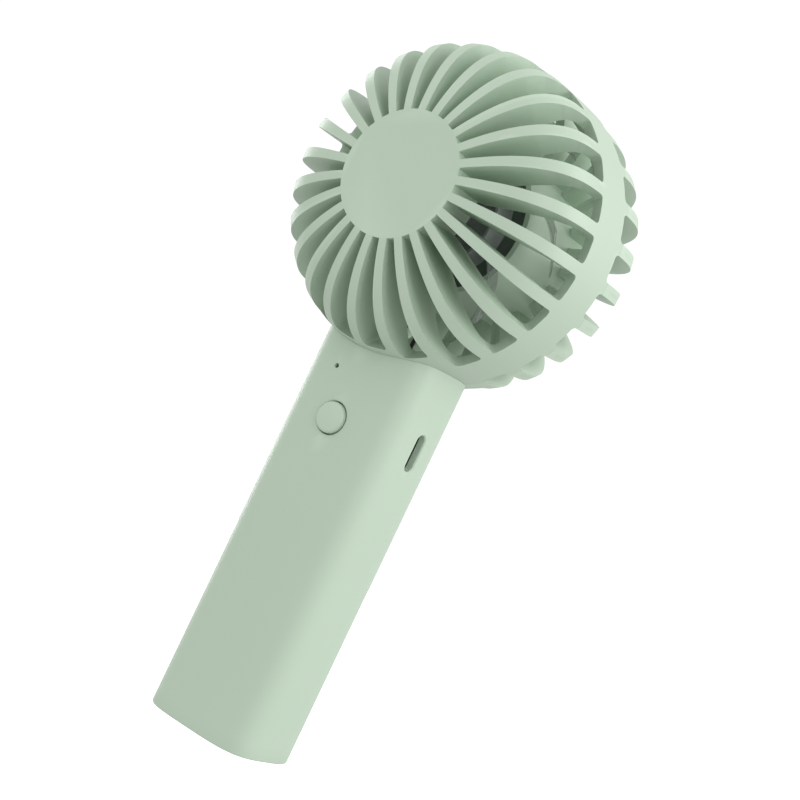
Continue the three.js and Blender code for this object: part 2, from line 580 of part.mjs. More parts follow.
// A trough that holds the cell, with feet for the base screws and a plate that carries the board.
function batteryCradle() {
  const wall = upright(circlePoints(CRADLE_RADIUS, ROUND_SEGMENTS), CRADLE_BOTTOM,
    CELL_TOP - CRADLE_TOP_DROP);
  const room = pegAlongZ(CRADLE_INNER_RADIUS, 0, 0, FOAM_TOP - FOAM_THICKNESS, CELL_TOP, ROUND_SEGMENTS);
  const openFront = block(-HANDLE_HALF_WIDTH, HANDLE_HALF_WIDTH, -HANDLE_HALF_DEPTH, CRADLE_OPEN_FROM,
    CRADLE_BOTTOM - 1, CELL_TOP);
  const feet = baseScrewPlaces.map(([x, y]) => (
    pegAlongZ(SCREW_BOSS_RADIUS, x, y, BASE_CAP_THICKNESS + GAP, CELL_BOTTOM - FOOT_CLEARANCE)));
  const footHoles = baseScrewPlaces.map(([x, y]) => (
    pegAlongZ(SCREW_HOLE_RADIUS, x, y, 0, CELL_BOTTOM - FOOT_CLEARANCE - 1)));
  const plate = block(-BACK_PLATE_HALF_WIDTH, BACK_PLATE_HALF_WIDTH, PLATE_FRONT, PLATE_BACK,
    CELL_TOP - BACK_PLATE_LAP, FLANGE_TOP);
  const flange = block(-FLANGE_HALF_WIDTH, FLANGE_HALF_WIDTH, PLATE_FRONT, HANDLE_INNER_DEPTH - FLANGE_EDGE,
    FLANGE_BOTTOM, FLANGE_TOP);
  const flangeHoles = neckScrewPlaces.map(([x, y]) => (
    pegAlongZ(SCREW_HOLE_RADIUS, x, y, FLANGE_BOTTOM - 1, FLANGE_TOP + 1)));
  const posts = pcbScrewPlaces.map(([x, z]) => (
    pegAlongY(SCREW_BOSS_RADIUS, x, z, PCB_BACK + GAP, PLATE_FRONT + GAP)));
  const postHoles = pcbScrewPlaces.map(([x, z]) => (
    pegAlongY(SCREW_HOLE_RADIUS, x, z, PCB_BACK, POST_HOLE_END)));
  const cellRoom = pegAlongZ(CRADLE_INNER_RADIUS, 0, 0, FOAM_TOP, CELL_TOP + GAP, ROUND_SEGMENTS);
  const insideHandle = upright(sectionPoints(INSERT_HALF_WIDTH, INSERT_HALF_DEPTH), 0, FLANGE_TOP);
  const trough = cut(wall, [room, openFront]).intersect(insideHandle);
  const foamRoom = pegAlongZ(FOAM_RADIUS + GAP, 0, 0, FOAM_TOP - FOAM_THICKNESS, CELL_TOP, ROUND_SEGMENTS);
  const frame = cut(union([trough, ...feet, plate]), [cellRoom, foamRoom]);
  return cut(union([frame, flange, ...posts]), [...footHoles, ...flangeHoles, ...postHoles]);
}

const batteryCell = () => pegAlongZ(CELL_RADIUS, 0, 0, CELL_BOTTOM, CELL_TOP, ROUND_SEGMENTS);
const batteryTab = (z) => block(-TAB_HALF_WIDTH, TAB_HALF_WIDTH, TAB_FRONT, PLATE_FRONT - 2 * GAP,
  z, z + TAB_THICKNESS);
const foamPad = () => pegAlongZ(FOAM_RADIUS, 0, 0, FOAM_TOP - FOAM_THICKNESS + GAP, FOAM_TOP,
  ROUND_SEGMENTS);

function mainPcb() {
  const board = block(-PCB_HALF_WIDTH, PCB_HALF_WIDTH, PCB_FRONT, PCB_BACK, PCB_BOTTOM, PCB_TOP);
  const holes = pcbScrewPlaces.map(([x, z]) => (
    pegAlongY(SCREW_HOLE_RADIUS, x, z, PCB_FRONT - 1, PCB_BACK + 1)));
  return cut(board, holes);
}

// A socket shell open at its mouth, lying on the back of the board.
const USB_OUTER_LENGTH = PORT_LENGTH - PORT_LENGTH_CLEARANCE;
const USB_OUTER_WIDTH = PORT_WIDTH - PORT_WIDTH_CLEARANCE;
const USB_MOUTH = INSERT_HALF_WIDTH;
const USB_FLOOR = USB_MOUTH - USB_LENGTH + USB_WALL;

function usbShell() {
  const outside = slotAlongX(USB_OUTER_LENGTH, USB_OUTER_WIDTH, PORT_BACK, PORT_HEIGHT,
    USB_MOUTH - USB_LENGTH, USB_MOUTH);
  const inside = slotAlongX(USB_OUTER_LENGTH - 2 * USB_WALL, USB_OUTER_WIDTH - 2 * USB_WALL, PORT_BACK,
    PORT_HEIGHT, USB_FLOOR, USB_MOUTH + 1);
  return cut(outside, [inside]);
}

function usbTongue() {
  const half = USB_OUTER_LENGTH / 2 - TONGUE_INSET;
  return block(USB_FLOOR + GAP, USB_MOUTH - TONGUE_INSET, PORT_BACK - TONGUE_HALF_THICKNESS,
    PORT_BACK + TONGUE_HALF_THICKNESS, PORT_HEIGHT - half, PORT_HEIGHT + half);
}

const SWITCH_FRONT = PCB_FRONT - GAP - SWITCH_DEPTH;
const FLANGE_FACE = -INSERT_HALF_DEPTH;          // the button's flange rests just inside the handle
const CAP_BACK = FLANGE_FACE + BUTTON_FLANGE_THICKNESS;
const STEM_FRONT = CAP_BACK + GAP;
const STEM_BACK = SWITCH_FRONT + STEM_IN_SWITCH;

function tactSwitchBody() {
  const half = SWITCH_SIZE / 2;
  const body = block(-half, half, SWITCH_FRONT, PCB_FRONT - GAP, BUTTON_HEIGHT - half, BUTTON_HEIGHT + half);
  const well = pegAlongY(STEM_RADIUS + STEM_CLEARANCE, 0, BUTTON_HEIGHT, SWITCH_FRONT - 1,
    STEM_BACK + SWITCH_TRAVEL_ROOM);
  return body.subtract(well);
}

const switchPlunger = () => pegAlongY(STEM_RADIUS, 0, BUTTON_HEIGHT, STEM_FRONT, STEM_BACK);

function buttonCap() {
  const front = -HANDLE_HALF_DEPTH - BUTTON_PROUD;
  const dome = spread(1, 0, 6).map((rise) => (
    [BUTTON_RADIUS * Math.sqrt(1 - rise * rise), front - BUTTON_DOME * rise]));
  const outline = [
    [0, CAP_BACK],
    ...dome,
    [BUTTON_RADIUS, FLANGE_FACE],
    [BUTTON_RADIUS + BUTTON_FLANGE, FLANGE_FACE],
    [BUTTON_RADIUS + BUTTON_FLANGE, CAP_BACK],
  ].map(([radius, y]) => [radius, y + FRONT_DISC_TO_HANDLE]);
  return turned(outline).translate(0, 0, BUTTON_HEIGHT);
}

const BOARD_FACE = PCB_FRONT - GAP;              // what stands on the board's front starts here
const LED_FRONT = BOARD_FACE - LED_HALF_WIDTH;
const indicatorLed = () => block(LED_SIDE - LED_HALF_WIDTH, LED_SIDE + LED_HALF_WIDTH, LED_FRONT, BOARD_FACE,
  LED_HEIGHT - LED_HALF_HEIGHT, LED_HEIGHT + LED_HALF_HEIGHT);
const lightPipe = () => pegAlongY(LED_HOLE_RADIUS + GAP, LED_SIDE, LED_HEIGHT,
  LIGHT_PIPE_RECESS - INSERT_HALF_DEPTH, LED_FRONT - GAP);

// A flat block on the board's front, centred on (x, z).
function onBoard(x, z, size, height) {
  return block(x - size / 2, x + size / 2, BOARD_FACE - height, BOARD_FACE, z - size / 2, z + size / 2);
}

const chargeChip = () => onBoard(7, PORT_HEIGHT - 1, CHIP_SIZE, CHIP_HEIGHT);
const driverChip = () => onBoard(-7.4, PORT_HEIGHT + 1.3, CHIP_SIZE, CHIP_HEIGHT);
const inductor = () => onBoard(2.2, PCB_TOP - 4.2, INDUCTOR_SIZE, INDUCTOR_HEIGHT);
const capacitor = () => pegAlongY(CAPACITOR_RADIUS, -9, PCB_TOP - 7, BOARD_FACE - CAPACITOR_HEIGHT,
  BOARD_FACE);

const CONNECTOR_TOP = PCB_TOP - CONNECTOR_BELOW_TOP;
const CONNECTOR_FRONT = PCB_BACK + GAP;
const leadConnector = () => block(
  CONNECTOR_SIDE - CONNECTOR_HALF_WIDTH, CONNECTOR_SIDE + CONNECTOR_HALF_WIDTH,
  CONNECTOR_FRONT, CONNECTOR_FRONT + CONNECTOR_DEPTH, CONNECTOR_TOP - CONNECTOR_HEIGHT, CONNECTOR_TOP);

// A motor lead: up from the connector, in through the ring and the cup, then back along the cup's
// wall to the rim of the motor's own board.
function motorLead(side) {
  const x = side * WIRE_SIDE;
  const y = atDepth(WIRE_DEPTH);
  const plugX = CONNECTOR_SIDE + (side * LEAD_PITCH) / 2;
  const plugY = CONNECTOR_FRONT + CONNECTOR_DEPTH / 2;
  const alongCup = CUP_INNER_RADIUS - LEAD_OFF_CUP - WIRE_RADIUS;
  const boardRim = MOTOR_PCB_RADIUS + GAP + WIRE_RADIUS;
  return tube([
    [plugX, plugY, CONNECTOR_TOP + GAP],
    [plugX, plugY, CONNECTOR_TOP + 2],
    [x, y, NECK_HEIGHT + 1],
    [x, y, HEAD_HEIGHT - BAND_INNER_RADIUS],
    [x, y, HEAD_HEIGHT - CUP_RADIUS - 4],
    [x, y, HEAD_HEIGHT - CUP_INNER_RADIUS],
    [x, y + 2.5, HEAD_HEIGHT - alongCup],
    [x, atDepth(MOTOR_PCB_DEPTH - 3), HEAD_HEIGHT - alongCup],
    [x, atDepth(MOTOR_PCB_DEPTH), HEAD_HEIGHT - boardRim],
  ], WIRE_RADIUS);
}

// A pan-head screw standing on the XY plane: its shank points up from the head.
function screw(shank) {
  const head = new THREE.CylinderGeometry(SCREW_HEAD_RADIUS, SCREW_HEAD_RADIUS, SCREW_HEAD_HEIGHT,
    SMALL_SEGMENTS);
  const stem = new THREE.CylinderGeometry(SCREW_RADIUS, SCREW_RADIUS, shank + 0.2, SMALL_SEGMENTS);
  const whole = solid(head.rotateX(Math.PI / 2).translate(0, 0, SCREW_HEAD_HEIGHT / 2))
    .add(solid(stem.rotateX(Math.PI / 2).translate(0, 0, SCREW_HEAD_HEIGHT + shank / 2 - 0.1)));
  const recess = new THREE.CylinderGeometry(DRIVE_RADIUS, DRIVE_RADIUS, 2 * DRIVE_DEPTH, 6);
  return whole.subtract(solid(recess.rotateX(Math.PI / 2)));
}

// ---------------------------------------------------------------- motor and impeller
const MOTOR_BASE_REAR = MOTOR_BASE_DEPTH + MOTOR_BASE_THICKNESS;
const MOTOR_SCREW_CIRCLE = CUP_INNER_RADIUS - SCREW_HEAD_RADIUS - MOTOR_SCREW_EDGE;
const motorScrewPlaces = Array.from({ length: MOTOR_SCREW_COUNT }, (_, i) => {
  const turn = (2 * Math.PI * i) / MOTOR_SCREW_COUNT;
  return [MOTOR_SCREW_CIRCLE * Math.sin(turn), MOTOR_SCREW_CIRCLE * Math.cos(turn)];
});
const MOTOR_PCB_RADIUS = MOTOR_SCREW_CIRCLE - SCREW_HEAD_RADIUS - GAP;
const MOTOR_PCB_DEPTH = MOTOR_BASE_DEPTH - GAP - MOTOR_PCB_THICKNESS;

const motorCover = () => ring(CUP_LIP_RADIUS - GAP, BOSS_RADIUS + COVER_HOLE_CLEARANCE,
  CUP_LEDGE_DEPTH - GAP - COVER_THICKNESS, CUP_LEDGE_DEPTH - GAP, HEAD_SEGMENTS);

function motorBase() {
  const plate = ring(CUP_INNER_RADIUS - GAP, TUBE_RADIUS - TUBE_WALL, MOTOR_BASE_DEPTH, MOTOR_BASE_REAR);
  const bearingTube = ring(TUBE_RADIUS, TUBE_RADIUS - TUBE_WALL, ROTOR_FRONT + ROTOR_HUB_REAR + 0.5,
    MOTOR_BASE_DEPTH + 0.5);
  const holes = motorScrewPlaces.map(([x, z]) => (
    pegAlongY(SCREW_HOLE_RADIUS, x, z, atDepth(MOTOR_BASE_DEPTH - 1), atDepth(MOTOR_BASE_REAR + 1))));
  return cut(plate.add(bearingTube), holes);
}

const motorPcb = () => ring(MOTOR_PCB_RADIUS, TUBE_RADIUS + GAP, MOTOR_PCB_DEPTH,
  MOTOR_PCB_DEPTH + MOTOR_PCB_THICKNESS);

const STATOR_RADIUS = ROTOR_RADIUS - ROTOR_WALL - MAGNET_THICKNESS - 3 * GAP;
const STATOR_FRONT = ROTOR_FRONT + STATOR_SETBACK;
const STATOR_REAR = STATOR_FRONT + STATOR_LENGTH;
const TOOTH_TIP = 0.8;            // thickness of a tooth's spread tip

// Laminated core: a ring with teeth whose tips spread.
function statorCore() {
  const yoke = TUBE_RADIUS + GAP + 1.2;
  const pitch = (2 * Math.PI) / STATOR_TEETH;
  const polar = (radius, angle) => [radius * Math.sin(angle), radius * Math.cos(angle)];
  const outline = Array.from({ length: STATOR_TEETH }, (_, i) => {
    const middle = i * pitch;
    const leftSide = [
      polar(yoke, middle - pitch * 0.36), polar(yoke, middle - pitch * 0.2),
      polar(STATOR_RADIUS - TOOTH_TIP - 0.2, middle - pitch * 0.13),
      polar(STATOR_RADIUS - TOOTH_TIP, middle - pitch * 0.4), polar(STATOR_RADIUS, middle - pitch * 0.4),
    ];
    return [
      ...leftSide, polar(STATOR_RADIUS, middle),
      polar(STATOR_RADIUS, middle + pitch * 0.4), polar(STATOR_RADIUS - TOOTH_TIP, middle + pitch * 0.4),
      polar(STATOR_RADIUS - TOOTH_TIP - 0.2, middle + pitch * 0.13), polar(yoke, middle + pitch * 0.2),
    ];
  }).flat();
  const prism = extruded(shapeOf(outline), STATOR_REAR - STATOR_FRONT).rotateX(Math.PI / 2);
  const core = solid(prism.translate(0, atDepth(STATOR_REAR), 0));
  return core.subtract(ring(TUBE_RADIUS + GAP, 0, STATOR_FRONT - 1, STATOR_REAR + 1));
}

// The coils' end turns behind the core: a ring with one swelling for each tooth.
function statorWindings() {
  const middle = (TUBE_RADIUS + GAP + STATOR_RADIUS) / 2;
  const outline = Array.from({ length: STATOR_TEETH * 4 }, (_, i) => {
    const turn = (2 * Math.PI * i) / (STATOR_TEETH * 4);
    const radius = STATOR_RADIUS - 1.1 + 0.4 * Math.cos(STATOR_TEETH * turn);
    return [radius * Math.sin(turn), radius * Math.cos(turn)];
  });
  const rear = STATOR_REAR + GAP + WINDING_THICKNESS;
  const prism = extruded(shapeOf(outline), WINDING_THICKNESS).rotateX(Math.PI / 2);
  return solid(prism.translate(0, atDepth(rear), 0))
    .subtract(ring(middle - 1.4, 0, STATOR_REAR, rear + 1));
}

function rotorCan() {
  const rear = ROTOR_FRONT + ROTOR_LENGTH;
  const bushing = SHAFT_RADIUS + GAP;
  const hub = bushing + ROTOR_HUB_WALL;
  return turned([
    [bushing, ROTOR_FRONT - ROTOR_HUB_FRONT],
    [hub, ROTOR_FRONT - ROTOR_HUB_FRONT],
    [hub, ROTOR_FRONT],
    [ROTOR_RADIUS - ROTOR_CHAMFER, ROTOR_FRONT],
    [ROTOR_RADIUS, ROTOR_FRONT + ROTOR_CHAMFER],
    [ROTOR_RADIUS, rear],
    [ROTOR_RADIUS - ROTOR_WALL, rear],
    [ROTOR_RADIUS - ROTOR_WALL, ROTOR_FRONT + ROTOR_FACE],
    [hub, ROTOR_FRONT + ROTOR_FACE],
    [hub, ROTOR_FRONT + ROTOR_HUB_REAR],
    [bushing, ROTOR_FRONT + ROTOR_HUB_REAR],
  ]);
}

const MAGNET_RADIUS = ROTOR_RADIUS - ROTOR_WALL - GAP;
const magnetRing = () => ring(MAGNET_RADIUS, MAGNET_RADIUS - MAGNET_THICKNESS, ROTOR_FRONT + ROTOR_FACE + 1,
  ROTOR_FRONT + ROTOR_LENGTH - 0.5);

const bearing = (front) => ring(TUBE_RADIUS - TUBE_WALL - GAP, SHAFT_RADIUS + RUNNING_CLEARANCE, front,
  front + BEARING_LENGTH);
const SHAFT_FRONT = HUB_FRONT - 0.7;
const motorShaft = () => ring(SHAFT_RADIUS, 0, SHAFT_FRONT, MOTOR_BASE_DEPTH - 1);

// One blade, twisted and swept. Its rib-like section runs front to rear and is stretched out from the hub.
function blade(index) {
  const rootRadius = HUB_RADIUS - HUB_WALL / 2;
  const halfChord = spread(0, 1, BLADE_STATIONS)
    .map((along) => [along, 0.5 * (1 - 0.45 * Math.abs(2 * along - 1) ** 3)]);
  const outline = [...halfChord.map(([along, half]) => [along, -half]), ...[...halfChord].reverse()];
  const geometry = extruded(shapeOf(outline), 1, BLADE_STATIONS);
  const place = geometry.attributes.position;
  for (let i = 0; i < place.count; i += 1) {
    const [along, side, out] = [place.getX(i), place.getY(i), place.getZ(i)];
    const radius = rootRadius + (TIP_RADIUS - rootRadius) * out;
    const sweep = BLADE_SWEEP * out ** BLADE_SWEEP_POWER;
    const span = BLADE_ROOT_SPAN + (BLADE_TIP_SPAN - BLADE_ROOT_SPAN) * out * out;
    const bow = BLADE_BOW * Math.sin(Math.PI * along) * out;
    const degrees = BLADE_START_ANGLE + (index * 360) / BLADE_COUNT + sweep + span * along + bow;
    const pitch = Math.atan2(outOf(span) * radius, BLADE_REAR - BLADE_FRONT);
    const angle = outOf(degrees) + (side * BLADE_THICKNESS * Math.cos(pitch)) / radius;
    const depth = BLADE_FRONT + (BLADE_REAR - BLADE_FRONT) * along - side * BLADE_THICKNESS * Math.sin(pitch);
    place.setXYZ(i, radius * Math.sin(angle), atDepth(depth), radius * Math.cos(angle));
  }
  return solid(geometry);
}

function impeller() {
  const bore = SHAFT_RADIUS + GAP;
  const hub = turned([
    [bore, HUB_WEB_FRONT - BOSS_RISE],
    [BOSS_RADIUS, HUB_WEB_FRONT - BOSS_RISE],
    [BOSS_RADIUS, HUB_WEB_FRONT],
    [HUB_RADIUS - HUB_WALL, HUB_WEB_FRONT],
    [HUB_RADIUS - HUB_WALL, HUB_FRONT],
    [HUB_RADIUS, HUB_FRONT],
    [HUB_RADIUS, HUB_REAR],
    [HUB_RADIUS - HUB_WALL, HUB_REAR],
    [HUB_RADIUS - HUB_WALL, HUB_WEB_FRONT + HUB_WEB],
    [BOSS_RADIUS, HUB_WEB_FRONT + HUB_WEB],
    [BOSS_RADIUS, HUB_REAR],
    [bore, HUB_REAR],
  ]);
  return union([hub, ...Array.from({ length: BLADE_COUNT }, (_, i) => blade(i))]);
}

function impellerNut() {
  const front = SHAFT_FRONT - NUT_CAP;
  const rear = HUB_WEB_FRONT - BOSS_RISE - GAP;
  const bore = SHAFT_RADIUS + GAP;
  return turned([
    [0, front],
    [NUT_RADIUS - NUT_CHAMFER, front],
    [NUT_RADIUS, front + NUT_CHAMFER],
    [NUT_RADIUS, rear],
    [bore, rear],
    [bore, SHAFT_FRONT - GAP],
    [0, SHAFT_FRONT - GAP],
  ]);
}

// ---------------------------------------------------------------- materials
const finish = (color, roughness, metalness = 0, extra = {}) => (
  new THREE.MeshStandardMaterial({ color, roughness, metalness, ...extra }));
const SHELL_GREEN = finish(0xb9cdb9, 0.5);
const SMOKE_CLEAR = finish(0x9aa39d, 0.15, 0, { transparent: true, opacity: 0.45 });
const DARK_PLATE = finish(0x3f463f, 0.8);
const BLACK_PLASTIC = finish(0x1c1c1c, 0.6);
const WHITE_PLASTIC = finish(0xe8e6de, 0.5);
const CLEAR_PLASTIC = finish(0xe9f0ea, 0.1, 0, { transparent: true, opacity: 0.4 });
const BOARD_GREEN = finish(0x1f5a35, 0.5);
const STEEL = finish(0xb8babd, 0.3, 1);
const BRASS = finish(0xb99a55, 0.35, 1);
const COPPER = finish(0xb46a3c, 0.35, 1);
const MAGNET = finish(0x3a3a3d, 0.6);
const CELL_WRAP = finish(0x3e6fa8, 0.35);
const FOAM = finish(0x2b2b2b, 0.95);
const RED_LEAD = finish(0xb03028, 0.5);
const BLACK_LEAD = finish(0x202020, 0.5);

// ---------------------------------------------------------------- assembly
const fan = new THREE.Group();
const head = new THREE.Group();
head.position.z = HEAD_HEIGHT;
fan.add(head);

function place(parent, name, body, material) {
  const mesh = new THREE.Mesh(geometryOf(body), material);
  mesh.name = name;
  parent.add(mesh);
  return mesh;
}

place(head, 'front_housing', frontHousing(), SHELL_GREEN);
place(head, 'rear_housing', rearHousing(), SHELL_GREEN);
place(head, 'impeller', impeller(), SMOKE_CLEAR);
place(head, 'impeller_nut', impellerNut(), DARK_PLATE);
place(head, 'motor_shaft', motorShaft(), STEEL);
place(head, 'rotor_can', rotorCan(), STEEL);
place(head, 'magnet_ring', magnetRing(), MAGNET);
place(head, 'motor_cover', motorCover(), DARK_PLATE);
place(head, 'motor_base', motorBase(), BLACK_PLASTIC);
place(head, 'motor_pcb', motorPcb(), BOARD_GREEN);
place(head, 'stator_core', statorCore(), STEEL);
place(head, 'stator_windings', statorWindings(), COPPER);
place(head, 'front_bearing', bearing(STATOR_FRONT + BEARING_SETBACK), BRASS);
place(head, 'rear_bearing', bearing(STATOR_REAR + BEARING_SETBACK), BRASS);
motorScrewPlaces.forEach(([x, z], i) => {
  const mesh = place(head, `motor_screw_${i + 1}`, screw(MOTOR_SCREW_SHANK), STEEL);
  mesh.rotation.x = -Math.PI / 2;
  mesh.position.set(x, atDepth(MOTOR_BASE_DEPTH - GAP - SCREW_HEAD_HEIGHT), z);
});

place(fan, 'handle_shell', handleShell(), SHELL_GREEN);
place(fan, 'base_cap', baseCap(), SHELL_GREEN);
baseScrewPlaces.forEach(([x, y], i) => {
  place(fan, `base_screw_${i + 1}`, screw(BASE_SCREW_SHANK), STEEL).position.set(x, y, GAP);
});
place(fan, 'battery_cradle', batteryCradle(), BLACK_PLASTIC);
neckScrewPlaces.forEach(([x, y], i) => {
  place(fan, `neck_screw_${i + 1}`, screw(NECK_SCREW_SHANK), STEEL)
    .position.set(x, y, FLANGE_BOTTOM - GAP - SCREW_HEAD_HEIGHT);
});
place(fan, 'battery_cell', batteryCell(), CELL_WRAP);
place(fan, 'battery_tab_positive', batteryTab(CELL_TOP + GAP), STEEL);
place(fan, 'battery_tab_negative', batteryTab(CELL_BOTTOM - GAP - TAB_THICKNESS), STEEL);
place(fan, 'battery_foam_pad', foamPad(), FOAM);
place(fan, 'main_pcb', mainPcb(), BOARD_GREEN);
pcbScrewPlaces.forEach(([x, z], i) => {
  const mesh = place(fan, `pcb_screw_${i + 1}`, screw(PCB_SCREW_SHANK), STEEL);
  mesh.rotation.x = -Math.PI / 2;
  mesh.position.set(x, BOARD_FACE - SCREW_HEAD_HEIGHT, z);
});
place(fan, 'usb_c_shell', usbShell(), STEEL);
place(fan, 'usb_c_tongue', usbTongue(), BLACK_PLASTIC);
place(fan, 'tact_switch_body', tactSwitchBody(), BLACK_PLASTIC);
place(fan, 'switch_plunger', switchPlunger(), BLACK_PLASTIC);
place(fan, 'button_cap', buttonCap(), SHELL_GREEN);
place(fan, 'indicator_led', indicatorLed(), WHITE_PLASTIC);
place(fan, 'light_pipe', lightPipe(), CLEAR_PLASTIC);
place(fan, 'charge_chip', chargeChip(), BLACK_PLASTIC);
place(fan, 'motor_driver_chip', driverChip(), BLACK_PLASTIC);
place(fan, 'inductor', inductor(), MAGNET);
place(fan, 'capacitor', capacitor(), STEEL);
place(fan, 'lead_connector', leadConnector(), WHITE_PLASTIC);
place(fan, 'motor_lead_positive', motorLead(-1), RED_LEAD);
place(fan, 'motor_lead_negative', motorLead(1), BLACK_LEAD);

export default fan;
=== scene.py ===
"""Handheld electric fan: a round ribbed head with a smoke-clear impeller, on a straight rounded grip."""
import json
import math

import bmesh
import bpy
from mathutils import Matrix, Vector


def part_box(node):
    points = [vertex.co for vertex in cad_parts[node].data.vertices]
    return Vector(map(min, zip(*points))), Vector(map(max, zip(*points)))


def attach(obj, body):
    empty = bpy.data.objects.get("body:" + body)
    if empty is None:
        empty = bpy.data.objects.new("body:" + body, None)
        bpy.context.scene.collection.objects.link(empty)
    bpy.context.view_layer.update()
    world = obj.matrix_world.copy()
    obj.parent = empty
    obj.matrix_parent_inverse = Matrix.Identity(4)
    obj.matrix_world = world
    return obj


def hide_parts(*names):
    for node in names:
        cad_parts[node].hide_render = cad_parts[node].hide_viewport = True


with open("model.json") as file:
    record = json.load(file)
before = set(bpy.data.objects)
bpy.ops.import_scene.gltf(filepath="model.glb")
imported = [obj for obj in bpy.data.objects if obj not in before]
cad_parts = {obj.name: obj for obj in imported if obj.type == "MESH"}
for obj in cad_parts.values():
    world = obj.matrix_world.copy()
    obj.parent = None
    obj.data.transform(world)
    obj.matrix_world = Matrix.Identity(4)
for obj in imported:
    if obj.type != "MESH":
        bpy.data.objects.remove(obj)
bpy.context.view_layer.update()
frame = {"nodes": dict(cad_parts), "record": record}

MM = 0.001

# ---------------------------------------------------------------- sizes, in millimetres
# Head depths are measured back from the front disc's face, radii from the fan's axis.
HEAD_HEIGHT = 142.5
FACE_TO_GRIP = 32.25
HEAD_RADIUS = 41.0
WIDEST_DEPTH = 28.6
REAR_DOME_LENGTH = 33.5
FRONT_POWER = 3.06
REAR_POWER = 4.36
DISC_RADIUS = 16.3
DISC_THICKNESS = 2.2
DRUM_RADIUS = 14.1
DRUM_REAR = 12.5
DRUM_TAPER = 0.8
BAND_INNER = 38.2
RIBS = 25
RIB_ROOT = 2.1
RIB_TIP = 3.1
FRONT_SLOT_END = 26.15
REAR_SLOT_START = 39.0
BAND_REAR = 40.8
FRONT_RIB_FLAT = 13.5
SLOT_CORNER = 1.1
NOTCH_CORNER = 1.5
HAIRLINE = 0.06
EDGE_ROUND = 0.55                 # the bevel's overlap clamp leaves almost none of it on the cages
CUP_RADIUS = 21.0
CUP_RIM = 28.2
CUP_LIP_RADIUS = 19.7
CUP_LEDGE = 31.0
CUP_BORE = 18.5
CUP_WALL_MIDDLE = 40.0
DUCT_INNER = 36.4
DUCT_OUTER = 37.9
DUCT_FRONT = 31.0
DUCT_REAR = 38.9
REAR_RIB_DEPTH = 11.0
RIB_INNER_POWER = 3.2
FRONT_RIB_ROWS = 26
REAR_RIB_ROWS = 20
GRIP_WIDTH = 16.85
GRIP_DEPTH = 14.42
GRIP_POWER = 3.68
GRIP_WALL = 2.0
GRIP_EDGE = 0.7
GRIP_TOP = 112
GRIP_STEPS = 144
SADDLE_CLEARANCE = 0.05
SLOT_TO_GRIP = 2.8
BUTTON_HEIGHT = 83.3
BUTTON_RADIUS = 4.0
BUTTON_GAP = 0.28
BUTTON_PROUD = 1.45
BUTTON_EDGE = 0.75
BUTTON_CROWN = 0.35
BUTTON_SIDE = 1.1
BUTTON_FLANGE = 0.9
LED_SIDE = -5.4
LED_HEIGHT = 95.4
LED_RADIUS = 0.62
PORT_HEIGHT = 84.0
PORT_BACK = 0.65
PORT_LENGTH = 9.8
PORT_WIDTH = 3.4
PORT_FLARE = 0.3
PORT_DEPTH = 6.0
PORT_STEPS = 48
HUB_RADIUS = 16.5
HUB_WALL = 0.9
HUB_FRONT = 20.7
HUB_REAR = 27.8
HUB_WEB = 24.0
HUB_WEB_THICKNESS = 1.3
HUB_BOSS_RADIUS = 3.6
HUB_BOSS_LENGTH = 2.0
HUB_BORE_RADIUS = 1.3
TIP_RADIUS = 34.2
BLADES = 7
BLADE_FRONT = 19.6
BLADE_REAR = 27.8
BLADE_START = 110.0
BLADE_SWEEP = 26.0
BLADE_SWEEP_POWER = 1.6
BLADE_ROOT_SPAN = 3.0
BLADE_TIP_SPAN = 17.0
BLADE_THICKNESS = 1.1

FRONT_DOME_LENGTH = WIDEST_DEPTH / (
    1 - (DISC_RADIUS / HEAD_RADIUS) ** FRONT_POWER) ** (1 / FRONT_POWER)
REAR_DISC_DEPTH = WIDEST_DEPTH + REAR_DOME_LENGTH * (
    1 - (CUP_RADIUS / HEAD_RADIUS) ** REAR_POWER) ** (1 / REAR_POWER)
CUP_FLOOR = REAR_DISC_DEPTH - DISC_THICKNESS
PITCH = 2 * math.pi / RIBS
CURVE_STEPS = 200


# ---------------------------------------------------------------- camera and light
# Lengths here are in metres and angles in degrees.
LENS = 81.4
CAMERA_PLACE = (0.2607, -0.3711, 0.0879)
CAMERA_AZIMUTH = 34.44
CAMERA_ELEVATION = 0.84
CAMERA_ROLL = 25.5
BACKDROP_SEEN = 1.05              # the backdrop and floor look plain white
BACKDROP_LIGHT = 0.86             # but light the fan more gently
FLOOR_LIGHT = 0.28
FLOOR_DROP = 1.2                  # far enough down to stay out of low views
FLOOR_SIZE = 12.0


def aim(obj, place, forward, roll=0.0):
    """Stands obj at place, looking along forward, turned about its own view by roll degrees."""
    turn = Vector(forward).to_track_quat("-Z", "Y").to_matrix().to_4x4()
    obj.matrix_world = Matrix.Translation(place) @ turn @ Matrix.Rotation(math.radians(roll), 4, "Z")


def make_camera():
    data = bpy.data.cameras.new("camera")
    data.lens = LENS
    data.sensor_width = 36.0
    data.clip_start = 0.01
    camera = bpy.data.objects.new("camera", data)
    bpy.context.scene.collection.objects.link(camera)
    azimuth = math.radians(CAMERA_AZIMUTH)
    elevation = math.radians(CAMERA_ELEVATION)
    forward = (
        -math.sin(azimuth) * math.cos(elevation),
        math.cos(azimuth) * math.cos(elevation),
        math.sin(elevation),
    )
    aim(camera, CAMERA_PLACE, forward, CAMERA_ROLL)
    bpy.context.scene.camera = camera


def softbox(name, place, target, size, power):
    data = bpy.data.lights.new(name, "AREA")
    data.shape = "RECTANGLE"
    data.size, data.size_y = size
    data.energy = power
    lamp = bpy.data.objects.new(name, data)
    bpy.context.scene.collection.objects.link(lamp)
    aim(lamp, place, Vector(target) - Vector(place))


